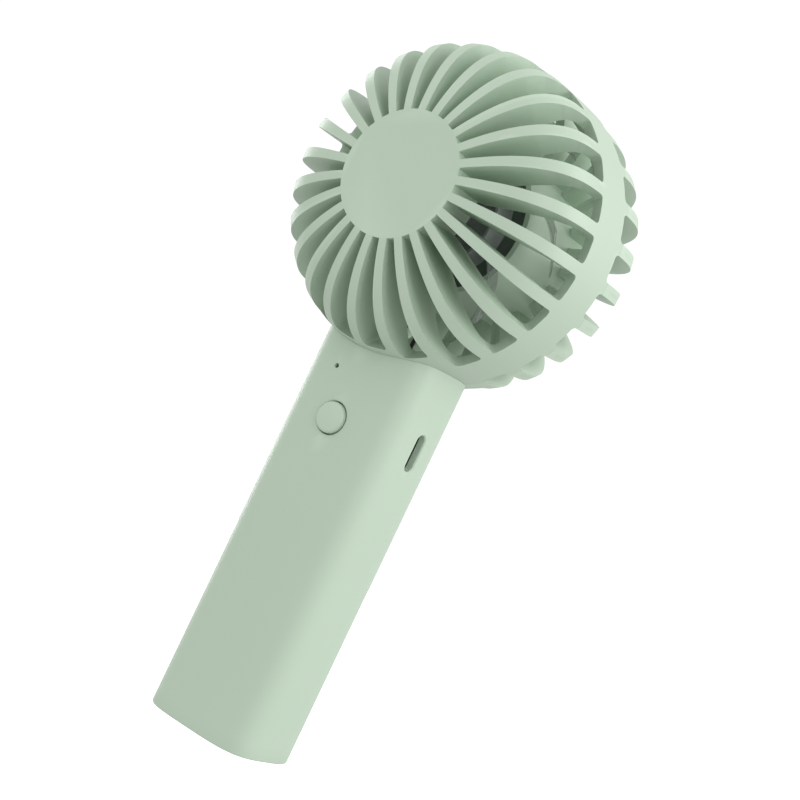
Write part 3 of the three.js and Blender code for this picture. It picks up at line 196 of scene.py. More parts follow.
def make_studio():
    softbox("back_softbox", (0.75, 0.5, 0.55), (0, 0, 0.12), (0.5, 0.9), 4.5)
    softbox("side_softbox", (0.95, -0.5, 0.5), (0, 0, 0.11), (0.4, 0.7), 1.9)
    softbox("front_softbox", (-0.55, -0.8, 0.8), (0, 0, 0.12), (0.7, 0.6), 1.6)
    softbox("left_softbox", (-0.9, 0.3, 0.3), (0, 0, 0.1), (0.3, 0.8), 2.4)
    world = bpy.data.worlds.new("studio")
    world.use_nodes = True
    bpy.context.scene.world = world
    nodes, links = world.node_tree.nodes, world.node_tree.links
    nodes.clear()
    output = nodes.new("ShaderNodeOutputWorld")
    seen = nodes.new("ShaderNodeBackground")
    seen.inputs["Color"].default_value = (1, 1, 1, 1)
    seen.inputs["Strength"].default_value = BACKDROP_SEEN
    lit = nodes.new("ShaderNodeBackground")
    lit.inputs["Color"].default_value = (1, 1, 1, 1)
    lit.inputs["Strength"].default_value = BACKDROP_LIGHT
    path = nodes.new("ShaderNodeLightPath")
    mix = nodes.new("ShaderNodeMixShader")
    links.new(path.outputs["Is Camera Ray"], mix.inputs["Fac"])
    links.new(lit.outputs["Background"], mix.inputs[1])
    links.new(seen.outputs["Background"], mix.inputs[2])
    links.new(mix.outputs["Shader"], output.inputs["Surface"])
    bpy.context.scene.view_settings.view_transform = "Standard"
    bpy.context.scene.view_settings.look = "None"


def make_floor():
    """A floor that looks white but throws little light back."""
    shape = bmesh.new()
    bmesh.ops.create_grid(shape, x_segments=1, y_segments=1, size=FLOOR_SIZE)
    bmesh.ops.translate(shape, vec=(0, 0, -FLOOR_DROP), verts=shape.verts)
    mesh = bpy.data.meshes.new("floor")
    shape.to_mesh(mesh)
    shape.free()
    floor = bpy.data.objects.new("floor", mesh)
    bpy.context.scene.collection.objects.link(floor)
    material = bpy.data.materials.new("pale_floor")
    material.use_nodes = True
    nodes, links = material.node_tree.nodes, material.node_tree.links
    principled = nodes["Principled BSDF"]
    principled.inputs["Base Color"].default_value = (0.45, 0.45, 0.45, 1)
    principled.inputs["Roughness"].default_value = 0.9
    principled.inputs["Emission Color"].default_value = (1, 1, 1, 1)
    path = nodes.new("ShaderNodeLightPath")
    glow = nodes.new("ShaderNodeMapRange")
    glow.inputs["To Min"].default_value = FLOOR_LIGHT
    glow.inputs["To Max"].default_value = BACKDROP_SEEN
    links.new(path.outputs["Is Camera Ray"], glow.inputs["Value"])
    links.new(glow.outputs["Result"], principled.inputs["Emission Strength"])
    mesh.materials.append(material)


# ---------------------------------------------------------------- finishes
def finish(name, colour, roughness, metal=0.0, grain=900.0, grain_depth=0.03, spread=0.06,
           rough_spread=0.08, edge=0.0, edge_lift=0.04, coat=0.0, alpha=1.0, specular=0.5):
    """A moulded or metal surface with colour drift, uneven roughness, fine grain and a painted highlight
    on its edges.
    """
    material = bpy.data.materials.new(name)
    material.use_nodes = True
    nodes, links = material.node_tree.nodes, material.node_tree.links
    shader = nodes["Principled BSDF"]
    shader.inputs["Metallic"].default_value = metal
    shader.inputs["Alpha"].default_value = alpha
    shader.inputs["Specular IOR Level"].default_value = specular
    shader.inputs["Coat Weight"].default_value = coat
    place = nodes.new("ShaderNodeTexCoord")

    drift = nodes.new("ShaderNodeTexNoise")
    drift.inputs["Scale"].default_value = 28.0
    drift.inputs["Detail"].default_value = 4.0
    links.new(place.outputs["Object"], drift.inputs["Vector"])
    tint = nodes.new("ShaderNodeMix")
    tint.data_type = "RGBA"
    tint.inputs["A"].default_value = (*[c * (1 - spread) for c in colour], 1)
    tint.inputs["B"].default_value = (*[min(1.0, c * (1 + spread)) for c in colour], 1)
    links.new(drift.outputs["Fac"], tint.inputs["Factor"])
    base = tint.outputs["Result"]
    # Sharp edges are painted paler: this is a painted highlight along the edges, not wear.
    if edge:
        shape = nodes.new("ShaderNodeNewGeometry")
        sharp = nodes.new("ShaderNodeMapRange")
        sharp.inputs["From Min"].default_value = 0.52
        sharp.inputs["From Max"].default_value = 0.60
        links.new(shape.outputs["Pointiness"], sharp.inputs["Value"])
        painted_edge_highlight = nodes.new("ShaderNodeMix")
        painted_edge_highlight.data_type = "RGBA"
        amount = nodes.new("ShaderNodeMath")
        amount.operation = "MULTIPLY"
        amount.inputs[1].default_value = edge
        links.new(sharp.outputs["Result"], amount.inputs[0])
        links.new(amount.outputs[0], painted_edge_highlight.inputs["Factor"])
        links.new(base, painted_edge_highlight.inputs["A"])
        painted_edge_highlight.inputs["B"].default_value = (*[min(1.0, c * 1.2 + edge_lift) for c in colour], 1)
        base = painted_edge_highlight.outputs["Result"]
        # A see-through finish is also made more solid along its edges, as part of the painted edge
        # highlight.
        if alpha < 1:
            solid = nodes.new("ShaderNodeMapRange")
            solid.inputs["To Min"].default_value = alpha
            links.new(amount.outputs[0], solid.inputs["Value"])
            links.new(solid.outputs["Result"], shader.inputs["Alpha"])
    links.new(base, shader.inputs["Base Color"])

    smudge = nodes.new("ShaderNodeTexNoise")
    smudge.inputs["Scale"].default_value = 140.0
    smudge.inputs["Detail"].default_value = 5.0
    links.new(place.outputs["Object"], smudge.inputs["Vector"])
    rough = nodes.new("ShaderNodeMapRange")
    rough.inputs["To Min"].default_value = max(0.02, roughness - rough_spread)
    rough.inputs["To Max"].default_value = min(1.0, roughness + rough_spread)
    links.new(smudge.outputs["Fac"], rough.inputs["Value"])
    links.new(rough.outputs["Result"], shader.inputs["Roughness"])

    speck = nodes.new("ShaderNodeTexNoise")
    speck.inputs["Scale"].default_value = grain
    speck.inputs["Detail"].default_value = 3.0
    links.new(place.outputs["Object"], speck.inputs["Vector"])
    bump = nodes.new("ShaderNodeBump")
    bump.inputs["Strength"].default_value = 0.5
    bump.inputs["Distance"].default_value = grain_depth * MM
    links.new(speck.outputs["Fac"], bump.inputs["Height"])
    links.new(bump.outputs["Normal"], shader.inputs["Normal"])
    return material


def make_finishes():
    # edge and edge_lift set the strength and paleness of each finish's painted edge highlight.
    return {
        "shell_green": finish("sage_moulding", (0.468, 0.585, 0.462), 0.42, grain=2600, grain_depth=0.012,
                              spread=0.02, rough_spread=0.05, edge=0.25),
        "button_green": finish("sage_button", (0.50, 0.61, 0.49), 0.34, grain=2600, grain_depth=0.008,
                               spread=0.02, rough_spread=0.04, edge=0.2),
        "smoke_clear": finish("smoke_clear_moulding", (0.36, 0.385, 0.37), 0.12, grain=400,
                              grain_depth=0.01, spread=0.05, rough_spread=0.04, edge=0.75,
                              edge_lift=0.3, alpha=0.38, specular=0.7),
        "dark_plastic": finish("dark_spark_texture", (0.095, 0.13, 0.102), 0.6, grain=1900,
                               grain_depth=0.07, spread=0.2),
        "black_plastic": finish("black_moulding", (0.017, 0.017, 0.018), 0.5, grain=1500, edge=0.3),
        "white_plastic": finish("off_white_moulding", (0.72, 0.70, 0.63), 0.45),
        "clear_plastic": finish("clear_moulding", (0.8, 0.86, 0.82), 0.12, alpha=0.55, grain=300),
        "board_green": finish("solder_mask", (0.018, 0.10, 0.045), 0.32, grain=500, spread=0.15, coat=0.3),
        "steel": finish("plated_steel", (0.60, 0.60, 0.61), 0.28, metal=1.0, grain=700, rough_spread=0.12),
        "bronze": finish("sintered_bronze", (0.42, 0.27, 0.12), 0.42, metal=1.0, grain=2200, spread=0.15),
        "copper_wire": finish("enamelled_copper", (0.58, 0.24, 0.10), 0.3, metal=1.0, grain=1800,
                              grain_depth=0.12),
        "ferrite": finish("bonded_ferrite", (0.045, 0.045, 0.05), 0.66, grain=1700, grain_depth=0.05),
        "cell_wrap": finish("shrink_wrap", (0.05, 0.16, 0.42), 0.22, grain=160, grain_depth=0.06),
        "foam": finish("closed_cell_foam", (0.028, 0.028, 0.03), 0.92, grain=2400, grain_depth=0.25),
        "red_lead": finish("red_insulation", (0.46, 0.03, 0.025), 0.42),
        "black_lead": finish("black_insulation", (0.018, 0.018, 0.018), 0.42),
    }


# ---------------------------------------------------------------- mesh helpers
def piece(name, shape, material, body, stands_for=(), bevel=0.0, bevel_segments=2, sharp=35.0):
    """Turns a bmesh drawn in millimetres into a finished piece that moves with a body."""
    bmesh.ops.recalc_face_normals(shape, faces=shape.faces)
    bmesh.ops.scale(shape, vec=(MM, MM, MM), verts=shape.verts)
    for face in shape.faces:
        face.smooth = True
    mesh = bpy.data.meshes.new(name)
    shape.to_mesh(mesh)
    shape.free()
    mesh.set_sharp_from_angle(angle=math.radians(sharp))
    mesh.materials.append(material)
    made = bpy.data.objects.new(name, mesh)
    bpy.context.scene.collection.objects.link(made)
    if bevel:
        soften = made.modifiers.new("soft_edges", "BEVEL")
        soften.width = bevel * MM
        soften.segments = bevel_segments
        soften.limit_method = "ANGLE"
        soften.angle_limit = math.radians(sharp)
        soften.harden_normals = True
    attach(made, body)
    if stands_for:
        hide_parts(*stands_for)
    return made


def at_depth(depth):
    return depth - FACE_TO_GRIP


def head_point(radius, depth, clock):
    """A point on the head, in millimetres, from its radius, depth and angle clockwise from the top."""
    return Vector((radius * math.sin(clock), at_depth(depth), HEAD_HEIGHT + radius * math.cos(clock)))


def front_dome_depth(radius):
    share = min(1.0, radius / HEAD_RADIUS)
    return WIDEST_DEPTH - FRONT_DOME_LENGTH * (1 - share ** FRONT_POWER) ** (1 / FRONT_POWER)


def dome_radius(depth):
    if depth < WIDEST_DEPTH:
        share = (WIDEST_DEPTH - depth) / FRONT_DOME_LENGTH
        return HEAD_RADIUS * (1 - share ** FRONT_POWER) ** (1 / FRONT_POWER)
    share = min(1.0, (depth - WIDEST_DEPTH) / REAR_DOME_LENGTH)
    return HEAD_RADIUS * (1 - share ** REAR_POWER) ** (1 / REAR_POWER)


def along(points, count):
    """Points spaced evenly along a polyline of (radius, depth) pairs."""
    steps = [math.dist(a, b) for a, b in zip(points, points[1:])]
    total = sum(steps)
    result = []
    for i in range(count):
        left = total * i / (count - 1)
        for (a, b), step in zip(zip(points, points[1:]), steps):
            if left <= step + 1e-9:
                part = left / step
                result.append((a[0] + (b[0] - a[0]) * part, a[1] + (b[1] - a[1]) * part))
                break
            left -= step
        else:
            result.append(points[-1])
    return result


def front_rib_outer(end_depth, count):
    """Outer edge of a front rib, from the disc's rim to a depth near the band."""
    points = []
    for i in range(CURVE_STEPS + 1):
        angle = i / CURVE_STEPS * math.pi / 2
        radius = DISC_RADIUS + (HEAD_RADIUS - DISC_RADIUS) * math.sin(angle)
        points.append((radius, front_dome_depth(radius)))
    points = [p for p in points if p[1] < end_depth] + [(dome_radius(end_depth), end_depth)]
    return along(points, count)


def rear_rib_outer(start_depth, count):
    points = [(dome_radius(start_depth), start_depth)]
    for i in range(1, CURVE_STEPS + 1):
        angle = (1 - i / CURVE_STEPS) * math.pi / 2
        radius = CUP_RADIUS + (dome_radius(start_depth) - CUP_RADIUS) * math.sin(angle)
        depth = WIDEST_DEPTH + REAR_DOME_LENGTH * (
            1 - (radius / HEAD_RADIUS) ** REAR_POWER) ** (1 / REAR_POWER)
        points.append((radius, depth))
    return along(points, count)


def rib_inner(outer_radius, inner_radius, edge_depth, flat_depth, count):
    """Inner edge of the ribs: a cylinder that rounds into a nearly flat middle."""
    points = []
    for i in range(CURVE_STEPS + 1):
        angle = (1 - i / CURVE_STEPS) * math.pi / 2
        radius = inner_radius + (outer_radius - inner_radius) * math.sin(angle)
        share = max(0.0, 1 - (radius / outer_radius) ** RIB_INNER_POWER)
        points.append((radius, edge_depth + (flat_depth - edge_depth) * share ** (1 / RIB_INNER_POWER)))
    return along(points, count)


def rib_half_angle(radius):
    radius = max(radius, DISC_RADIUS)
    grown = (radius - DISC_RADIUS) / (HEAD_RADIUS - DISC_RADIUS)
    return math.asin((RIB_ROOT + (RIB_TIP - RIB_ROOT) * grown) / 2 / radius)


def grip_reach(side):
    share = min(1.0, abs(side) / GRIP_WIDTH)
    return GRIP_DEPTH * (1 - share ** GRIP_POWER) ** (1 / GRIP_POWER)


# Columns across one pitch, from one rib's middle to the next. Between -1 and 0 they lie on the first
# half rib, between 0 and 1 across the gap, and between 1 and 2 on the second half rib.
CORNER_SHARES = [1 - math.cos(math.radians(a)) for a in (0, 22.5, 45, 67.5, 90)]
GAP_WIDTH = 7.2
GAP_COLUMNS = [share * SLOT_CORNER / GAP_WIDTH for share in CORNER_SHARES] + [0.32, 0.5]
GAP_COLUMNS = GAP_COLUMNS + [1 - c for c in reversed(GAP_COLUMNS[:-1])]
COLUMNS = [-1.0, -0.5] + GAP_COLUMNS + [1.5, 2.0]


def column_angle(column, radius):
    """Angle from the gap's middle of a column at a radius."""
    rib = rib_half_angle(radius)
    half = PITCH / 2
    if column <= 0:
        return -half + rib * (1 + column)
    if column >= 1:
        return half - rib * (2 - column)
    return -half + rib + (PITCH - 2 * rib) * column


def corner_push(column, corner):
    """How far a slot's end runs past the start of its rounded corners, at a column."""
    nearest = min(column, 1 - column)
    if nearest <= 0:
        return 0.0
    away = min(corner, nearest * GAP_WIDTH * corner / SLOT_CORNER)
    return math.sqrt(max(0.0, corner ** 2 - (corner - away) ** 2))


def ribbed_shell(outer, inner, is_open, slot_ends):
    """A shell of revolution with one slot per pitch.

    outer and inner are matching lists of (radius, depth). is_open(row, clock) says whether the faces
    between row and row + 1 are left out of the gap at that clock angle. slot_ends gives, for a row and
    clock, the direction (+1 or -1) and corner radius of a rounded slot end there, or None.
    """
    shape = bmesh.new()
    row_layer = shape.verts.layers.float.new("row")
    column_layer = shape.verts.layers.float.new("column")
    pitch_layer = shape.verts.layers.float.new("pitch")
    rows = len(outer)
    columns = len(COLUMNS)
    for pitch in range(RIBS):
        made = bmesh.ops.create_grid(shape, x_segments=columns - 1, y_segments=rows - 1, size=1.0)["verts"]
        for vert in made:
            column = round((vert.co.x + 1) / 2 * (columns - 1))
            row = round((vert.co.y + 1) / 2 * (rows - 1))
            vert[row_layer] = row
            vert[column_layer] = COLUMNS[column]
            vert[pitch_layer] = pitch
        faces = {face for vert in made for face in vert.link_faces}
        clock = pitch * PITCH
        gone = []
        for face in faces:
            low = min(vert[row_layer] for vert in face.verts)
            middle = sum(vert[column_layer] for vert in face.verts) / len(face.verts)
            if 0 < middle < 1 and is_open(int(low), clock):
                gone.append(face)
        bmesh.ops.delete(shape, geom=gone, context="FACES")

    def stand(vert, path):
        row = int(vert[row_layer])
        column = vert[column_layer]
        clock = vert[pitch_layer] * PITCH
        radius, depth = path[row]
        end = slot_ends(row, clock)
        if end and 0 < column < 1:
            direction, corner = end
            push = corner_push(column, corner)
            ahead = path[row + direction]
            length = math.dist(path[row], ahead)
            part = min(0.9, push / length)
            radius += (ahead[0] - radius) * part
            depth += (ahead[1] - depth) * part
        vert.co = head_point(radius, depth, clock + column_angle(column, radius))

    for vert in shape.verts:
        stand(vert, outer)
    bmesh.ops.remove_doubles(shape, verts=shape.verts, dist=1e-4)
    bmesh.ops.dissolve_degenerate(shape, edges=shape.edges, dist=1e-5)
    fresh = bmesh.ops.extrude_face_region(shape, geom=list(shape.faces), use_keep_orig=True)["geom"]
    for vert in [item for item in fresh if isinstance(item, bmesh.types.BMVert)]:
        stand(vert, inner)
    bmesh.ops.remove_doubles(shape, verts=shape.verts, dist=1e-4)
    return shape


def over_grip(clock):
    return math.cos(clock) < 0 and abs(HEAD_RADIUS * math.sin(clock)) < GRIP_WIDTH


def reach_at(clock):
    return grip_reach(BAND_INNER * math.sin(clock)) + SLOT_TO_GRIP


# ---------------------------------------------------------------- head shells
def merge_disc(shape, depth):
    """Makes the flat disc at a depth one face, so that no pole shows in its shading."""
    plane = at_depth(depth)
    flat = [face for face in shape.faces if all(abs(vert.co.y - plane) < 1e-4 for vert in face.verts)]
    bmesh.ops.dissolve_faces(shape, faces=flat, use_verts=True)


def front_cage(looks):
    """Front disc, ribs and band in one moulding."""
    disc_outer = [(0, 0), (8, 0), (12.6, 0), (13.6, 0), (14.6, 0), (15.5, 0)]
    back = DISC_THICKNESS
    disc_inner = [(0, back), (8, back), (13.9, back), (DRUM_RADIUS, 8.0), (DRUM_RADIUS, DRUM_REAR),
                  (15.0, DRUM_REAR)]
    ribs = FRONT_RIB_ROWS
    slot_row_depth = FRONT_SLOT_END - SLOT_CORNER
    rib_outer = front_rib_outer(slot_row_depth, ribs)
    inner_edge = rib_inner(BAND_INNER, DISC_RADIUS, FRONT_SLOT_END, FRONT_RIB_FLAT, ribs)[::-1]
    inner_edge[0] = (DISC_RADIUS - DRUM_TAPER, DRUM_REAR)
    notch_row_depth = REAR_SLOT_START + NOTCH_CORNER
    band_depths = [27.4, 29.0, 31.0, 33.0, 35.0, 37.0, 38.3]
    band_outer = [(dome_radius(d), d) for d in band_depths + [notch_row_depth, BAND_REAR]]
    band_inner = [(BAND_INNER, d) for d in band_depths + [notch_row_depth, BAND_REAR]]
    outer = disc_outer + rib_outer + band_outer
    inner = disc_inner + inner_edge + band_inner
    first_open = len(disc_outer)
    slot_row = first_open + ribs - 1
    notch_row = len(outer) - 2

    def short_row(clock):
        """Row where a slot over the grip ends."""
        limit = FACE_TO_GRIP - reach_at(clock) - SLOT_CORNER
        return min(range(first_open, slot_row), key=lambda row: abs(outer[row][1] - limit))

    def is_open(row, clock):
        if first_open <= row < (short_row(clock) if over_grip(clock) else slot_row):
            return True
        return row >= notch_row and not over_grip(clock)

    def slot_ends(row, clock):
        if row == (short_row(clock) if over_grip(clock) else slot_row):
            return 1, SLOT_CORNER
        if row == notch_row and not over_grip(clock):
            return -1, NOTCH_CORNER
        return None

    shape = ribbed_shell(outer, inner, is_open, slot_ends)
    merge_disc(shape, 0)
    return piece("front_cage", shape, looks["shell_green"], "fan_body", ["front_housing"],
                 bevel=EDGE_ROUND, bevel_segments=3)


def rear_cage(looks):
    """Rear ribs, rear disc, motor cup and the ring that seats in the band."""
    start = BAND_REAR + HAIRLINE
    ribs = REAR_RIB_ROWS
    rib_outer = rear_rib_outer(start, ribs)
    flat = REAR_DISC_DEPTH - REAR_RIB_DEPTH
    inner_edge = rib_inner(DUCT_INNER, CUP_RADIUS, start, flat, ribs)
    duct_depths = [DUCT_FRONT, 33.0, 35.0, 37.0, DUCT_REAR]
    ring_rows_outer = [(DUCT_OUTER, depth) for depth in duct_depths + [start]]
    ring_rows_inner = [(DUCT_INNER, depth) for depth in duct_depths + [start - 0.7]]
    disc_radii = [20.2, 19.5, 18.8, 18.1, 17.4, 15.5, 10.0, 0.0]
    disc_outer = [(radius, REAR_DISC_DEPTH) for radius in disc_radii]
    cup = [(CUP_RADIUS, CUP_WALL_MIDDLE), (CUP_RADIUS, CUP_RIM), (CUP_LIP_RADIUS, CUP_RIM),
           (CUP_LIP_RADIUS, CUP_LEDGE), (CUP_BORE, CUP_LEDGE), (CUP_BORE, CUP_FLOOR),
           (10.0, CUP_FLOOR), (0.0, CUP_FLOOR)]
    outer = ring_rows_outer + rib_outer + disc_outer
    inner = ring_rows_inner + inner_edge + cup
    open_from = len(duct_depths) - 1
    rim_row = len(ring_rows_outer) + ribs - 1

    def closed_until(clock):
        """Row where a slot over the grip begins."""
        limit = FACE_TO_GRIP + reach_at(clock) + NOTCH_CORNER
        rows = range(len(ring_rows_outer), rim_row)
        return min(rows, key=lambda row: abs(outer[row][1] - limit))

    def is_open(row, clock):
        first = closed_until(clock) if over_grip(clock) else open_from
        return first <= row < rim_row

    def slot_ends(row, clock):
        if over_grip(clock) and row == closed_until(clock):
            return -1, NOTCH_CORNER
        return None

    shape = ribbed_shell(outer, inner, is_open, slot_ends)
    merge_disc(shape, REAR_DISC_DEPTH)
    return piece("rear_cage", shape, looks["shell_green"], "fan_body", ["rear_housing"],
                 bevel=EDGE_ROUND, bevel_segments=3)


# ---------------------------------------------------------------- grip
def wrapped_tube(levels):
    """A closed tube wrapped from a grid. levels are loops of points with the same count, bottom to top."""
    shape = bmesh.new()
    around, up = len(levels[0]), len(levels) - 1
    made = bmesh.ops.create_grid(shape, x_segments=around, y_segments=up, size=1.0)["verts"]
    for vert in made:
        place = round((vert.co.x + 1) / 2 * around) % around
        level = round((vert.co.y + 1) / 2 * up)
        vert.co = levels[level][place]
    bmesh.ops.remove_doubles(shape, verts=shape.verts, dist=1e-5)
    bmesh.ops.holes_fill(shape, edges=[edge for edge in shape.edges if edge.is_boundary], sides=0)
    bmesh.ops.recalc_face_normals(shape, faces=shape.faces)
    return shape


def section_loop(half_width, half_depth, height, inset=0.0):
    """The grip's rounded section at a height."""
    loop = []
    for i in range(GRIP_STEPS):
        turn = 2 * math.pi * i / GRIP_STEPS
        across = math.cos(turn)
        back = math.sin(turn)
        loop.append((
            (half_width - inset) * math.copysign(abs(across) ** (2 / GRIP_POWER), across),
            (half_depth - inset) * math.copysign(abs(back) ** (2 / GRIP_POWER), back),
            height,
        ))
    return loop


def cutter(name, shape):
    bmesh.ops.recalc_face_normals(shape, faces=shape.faces)
    mesh = bpy.data.meshes.new(name)
    shape.to_mesh(mesh)
    shape.free()
    made = bpy.data.objects.new(name, mesh)
    bpy.context.scene.collection.objects.link(made)
    return made


def spun(profile, centre, segments):
    """A solid turned about the fan's direction. profile is (radius, distance along Y), end to end."""
    shape = bmesh.new()
    verts = [shape.verts.new((radius, 0, height)) for radius, height in profile]
    edges = [shape.edges.new(pair) for pair in zip(verts, verts[1:])]
    bmesh.ops.spin(shape, geom=verts + edges, cent=(0, 0, 0), axis=(0, 0, 1), angle=2 * math.pi,
                   steps=segments, use_merge=True)
    bmesh.ops.remove_doubles(shape, verts=shape.verts, dist=1e-4)
    bmesh.ops.rotate(shape, verts=shape.verts, matrix=Matrix.Rotation(math.radians(-90), 3, "X"))
    bmesh.ops.translate(shape, vec=centre, verts=shape.verts)
    bmesh.ops.recalc_face_normals(shape, faces=shape.faces)
    return shape


def stadium_loop(length, width, x):
    """A slot's outline with round ends, lying along Z at a distance to the side."""
    straight = (length - width) / 2
    loop = []
    for i in range(PORT_STEPS):
        turn = 2 * math.pi * (i + 0.5) / PORT_STEPS
        y = width / 2 * math.cos(turn)
        z = width / 2 * math.sin(turn)
        loop.append((x, PORT_BACK + y, PORT_HEIGHT + z + math.copysign(straight, z)))
    return loop


def port_cutter(flare, depth):
    """The charging port's slot, with a flared mouth."""
    mouth = GRIP_WIDTH
    return wrapped_tube([
        stadium_loop(PORT_LENGTH, PORT_WIDTH, mouth - depth),
        stadium_loop(PORT_LENGTH, PORT_WIDTH, mouth - flare),
        stadium_loop(PORT_LENGTH + 2 * flare, PORT_WIDTH + 2 * flare, mouth),
        stadium_loop(PORT_LENGTH + 2 * flare, PORT_WIDTH + 2 * flare, mouth + 2),
    ])


def apply_cuts(made, cutters):
    for index, tool in enumerate(cutters):
        cut = made.modifiers.new(f"cut_{index}", "BOOLEAN")
        cut.object = tool
        cut.operation = "DIFFERENCE"
        cut.solver = "EXACT"
    graph = bpy.context.evaluated_depsgraph_get()
    fresh = bpy.data.meshes.new_from_object(made.evaluated_get(graph))
    made.modifiers.clear()
    old = made.data
    made.data = fresh
    bpy.data.meshes.remove(old)
    for tool in cutters:
        mesh = tool.data
        bpy.data.objects.remove(tool)
        bpy.data.meshes.remove(mesh)


def head_profile(grow):
    """Outline of the whole head for the saddle on top of the grip."""
    points = [(0.0, -grow)]
    points += [(radius + grow * 0.7, depth - grow * 0.7) for radius, depth in front_rib_outer(26.0, 30)]
    for i in range(24):
        depth = 26.6 + (56.0 - 26.6) * i / 23
        points.append((dome_radius(depth) + grow, depth))
    points.append((0.0, 56.0))
    return [(radius, at_depth(depth)) for radius, depth in points]


def grip(looks):
    levels = [(0.0, GRIP_EDGE)]
    for degrees in (30, 60, 90):
        turn = math.radians(degrees)
        levels.append((GRIP_EDGE * (1 - math.cos(turn)), GRIP_EDGE * (1 - math.sin(turn))))
    levels += [(height, 0.0) for height in range(4, GRIP_TOP, 4)]
    loops = [section_loop(GRIP_WIDTH, GRIP_DEPTH, height, inset) for height, inset in levels]
    outside = cutter("grip", wrapped_tube(loops))
    bore = wrapped_tube([
        section_loop(GRIP_WIDTH - GRIP_WALL, GRIP_DEPTH - GRIP_WALL, height)
        for height in (-2.0, 50.0, float(GRIP_TOP))
    ])
    head = spun(head_profile(SADDLE_CLEARANCE), centre=(0, 0, HEAD_HEIGHT), segments=200)
    front = -GRIP_DEPTH
    inside = front + 6
    outer = front - 2
    hole = BUTTON_RADIUS + BUTTON_GAP
    button_hole = spun([
        (0, inside), (hole, inside), (hole, front + 0.3), (hole + 0.08, front + 0.12),
        (hole + 0.3, front), (hole + 0.5, outer), (0, outer),
    ], centre=(0, 0, BUTTON_HEIGHT), segments=72)
    led_hole = spun([
        (0, inside), (LED_RADIUS, inside), (LED_RADIUS, front + 0.12), (LED_RADIUS + 0.1, front + 0.02),
        (LED_RADIUS + 0.3, outer), (0, outer),
    ], centre=(LED_SIDE, 0, LED_HEIGHT), segments=32)
    port = port_cutter(PORT_FLARE, PORT_DEPTH)
    tools = [cutter("bore", bore), cutter("saddle", head), cutter("button_hole", button_hole),
             cutter("led_hole", led_hole), cutter("port_slot", port)]
    apply_cuts(outside, tools)
    shape = bmesh.new()
    shape.from_mesh(outside.data)
    mesh = outside.data
    bpy.data.objects.remove(outside)
    bpy.data.meshes.remove(mesh)
    return piece("grip", shape, looks["shell_green"], "fan_body", ["handle_shell"],
                 sharp=28.0)


# ---------------------------------------------------------------- button
def button(looks):
    crown = []
    dome_front = -GRIP_DEPTH - BUTTON_PROUD
    edge_front = dome_front + BUTTON_CROWN
    side_front = dome_front + BUTTON_SIDE
    for i in range(9):
        share = i / 8
        radius = (BUTTON_RADIUS - BUTTON_EDGE) * share
        crown.append((radius, dome_front + BUTTON_CROWN * share ** 2))
    for angle in (20, 40, 60, 80, 90):
        turn = math.radians(angle)
        crown.append((
            BUTTON_RADIUS - BUTTON_EDGE + BUTTON_EDGE * math.sin(turn),
            edge_front + (side_front - edge_front) * (1 - math.cos(turn)),
        ))
    low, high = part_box("button_cap")
    back = high[1] / MM
    flange = (high[0] - low[0]) / MM / 2
    step = back - BUTTON_FLANGE
    crown += [(BUTTON_RADIUS, step), (flange, step), (flange, back), (0, back)]
    shape = spun(crown, centre=(0, 0, BUTTON_HEIGHT), segments=72)
    return piece("button", shape, looks["button_green"], "button", ["button_cap"])


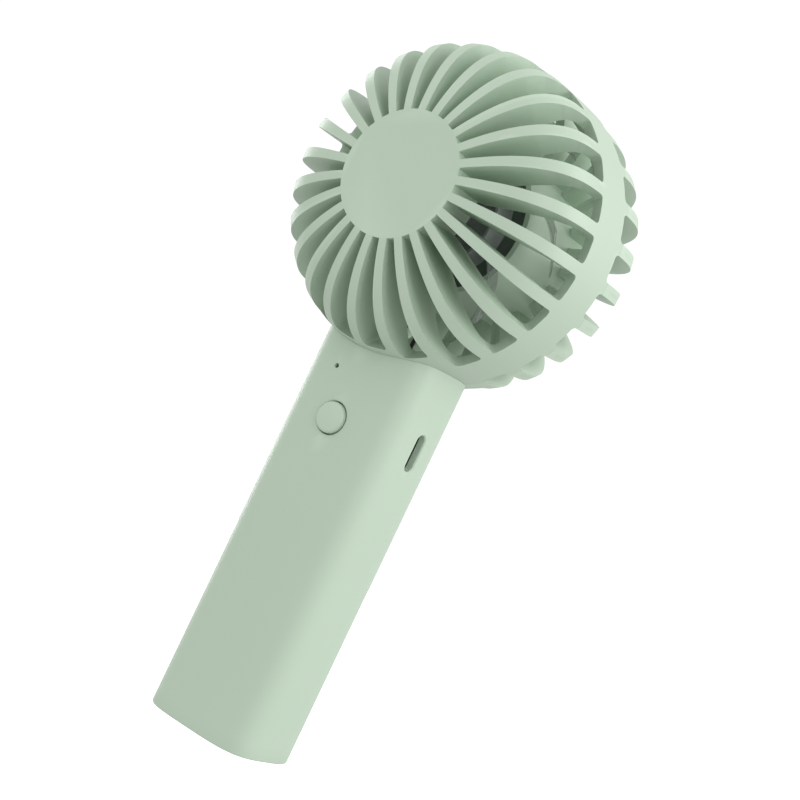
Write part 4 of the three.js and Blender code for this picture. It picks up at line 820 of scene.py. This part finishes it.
# ---------------------------------------------------------------- impeller
def blade(shape, index):
    """One swept blade, drawn as a thin grid that is given its thickness across the flow."""
    radial, chord = 20, 10
    made = bmesh.ops.create_grid(shape, x_segments=chord, y_segments=radial, size=1.0)["verts"]
    root = HUB_RADIUS - HUB_WALL / 2
    offsets = {}
    for vert in made:
        forward = (vert.co.x + 1) / 2
        out = (vert.co.y + 1) / 2
        radius = root + (TIP_RADIUS - root) * out
        sweep = BLADE_SWEEP * out ** BLADE_SWEEP_POWER
        span = BLADE_ROOT_SPAN + (BLADE_TIP_SPAN - BLADE_ROOT_SPAN) * out * out
        bow = 1.2 * math.sin(math.pi * forward) * out
        degrees = BLADE_START + index * 360 / BLADES + sweep + span * forward + bow
        pitch = math.atan2(math.radians(span) * radius, BLADE_REAR - BLADE_FRONT)
        thick = BLADE_THICKNESS * (1 - 0.45 * abs(2 * forward - 1) ** 3)
        rounded = 1 - 0.18 * max(0.0, out - 0.8) / 0.2 * (2 * forward - 1) ** 2
        depth = BLADE_FRONT + (BLADE_REAR - BLADE_FRONT) * (0.5 + (forward - 0.5) * rounded)
        angle = math.radians(degrees)
        half = thick / 2
        along_axis = half * math.sin(pitch)
        around_axis = half * math.cos(pitch) / radius
        vert.co = head_point(radius, depth + along_axis, angle - around_axis)
        offsets[vert] = head_point(radius, depth - along_axis, angle + around_axis)
    faces = list({face for vert in made for face in vert.link_faces})
    before = {tuple(round(c, 5) for c in vert.co): offsets[vert] for vert in made}
    fresh = bmesh.ops.extrude_face_region(shape, geom=faces, use_keep_orig=True)["geom"]
    for vert in [item for item in fresh if isinstance(item, bmesh.types.BMVert)]:
        vert.co = before[tuple(round(c, 5) for c in vert.co)]


def impeller(looks):
    """Cup-shaped hub with swept blades, all in clear moulding."""
    inner = HUB_RADIUS - HUB_WALL
    boss_front = at_depth(HUB_WEB - HUB_BOSS_LENGTH)
    web_front = at_depth(HUB_WEB)
    web_rear = at_depth(HUB_WEB + HUB_WEB_THICKNESS)
    front = at_depth(HUB_FRONT)
    rear = at_depth(HUB_REAR)
    profile = [
        (HUB_BORE_RADIUS, boss_front), (HUB_BOSS_RADIUS, boss_front), (HUB_BOSS_RADIUS, web_front),
        (inner, web_front), (inner, front), (HUB_RADIUS, front), (HUB_RADIUS, rear), (inner, rear),
        (inner, web_rear), (HUB_BOSS_RADIUS, web_rear), (HUB_BOSS_RADIUS, rear), (HUB_BORE_RADIUS, rear),
        (HUB_BORE_RADIUS, boss_front),
    ]
    shape = spun(profile, centre=(0, 0, HEAD_HEIGHT), segments=96)
    for index in range(BLADES):
        blade(shape, index)
    return piece("clear_impeller", shape, looks["smoke_clear"], "rotor", ["impeller"],
                 bevel=0.18, bevel_segments=2)


# ---------------------------------------------------------------- carried-over pieces
def dress_frame(looks):
    """Every piece that stays as it is takes its finish from its slot in the record."""
    slots = {entry["node"]: entry["material_slot"] for entry in frame["record"]["subparts"]}
    for name, node in frame["nodes"].items():
        material = looks[slots[name]]
        node.data.materials.clear()
        node.data.materials.append(material)


make_camera()
make_studio()
make_floor()
looks = make_finishes()
dress_frame(looks)
front_cage(looks)
rear_cage(looks)
grip(looks)
button(looks)
impeller(looks)
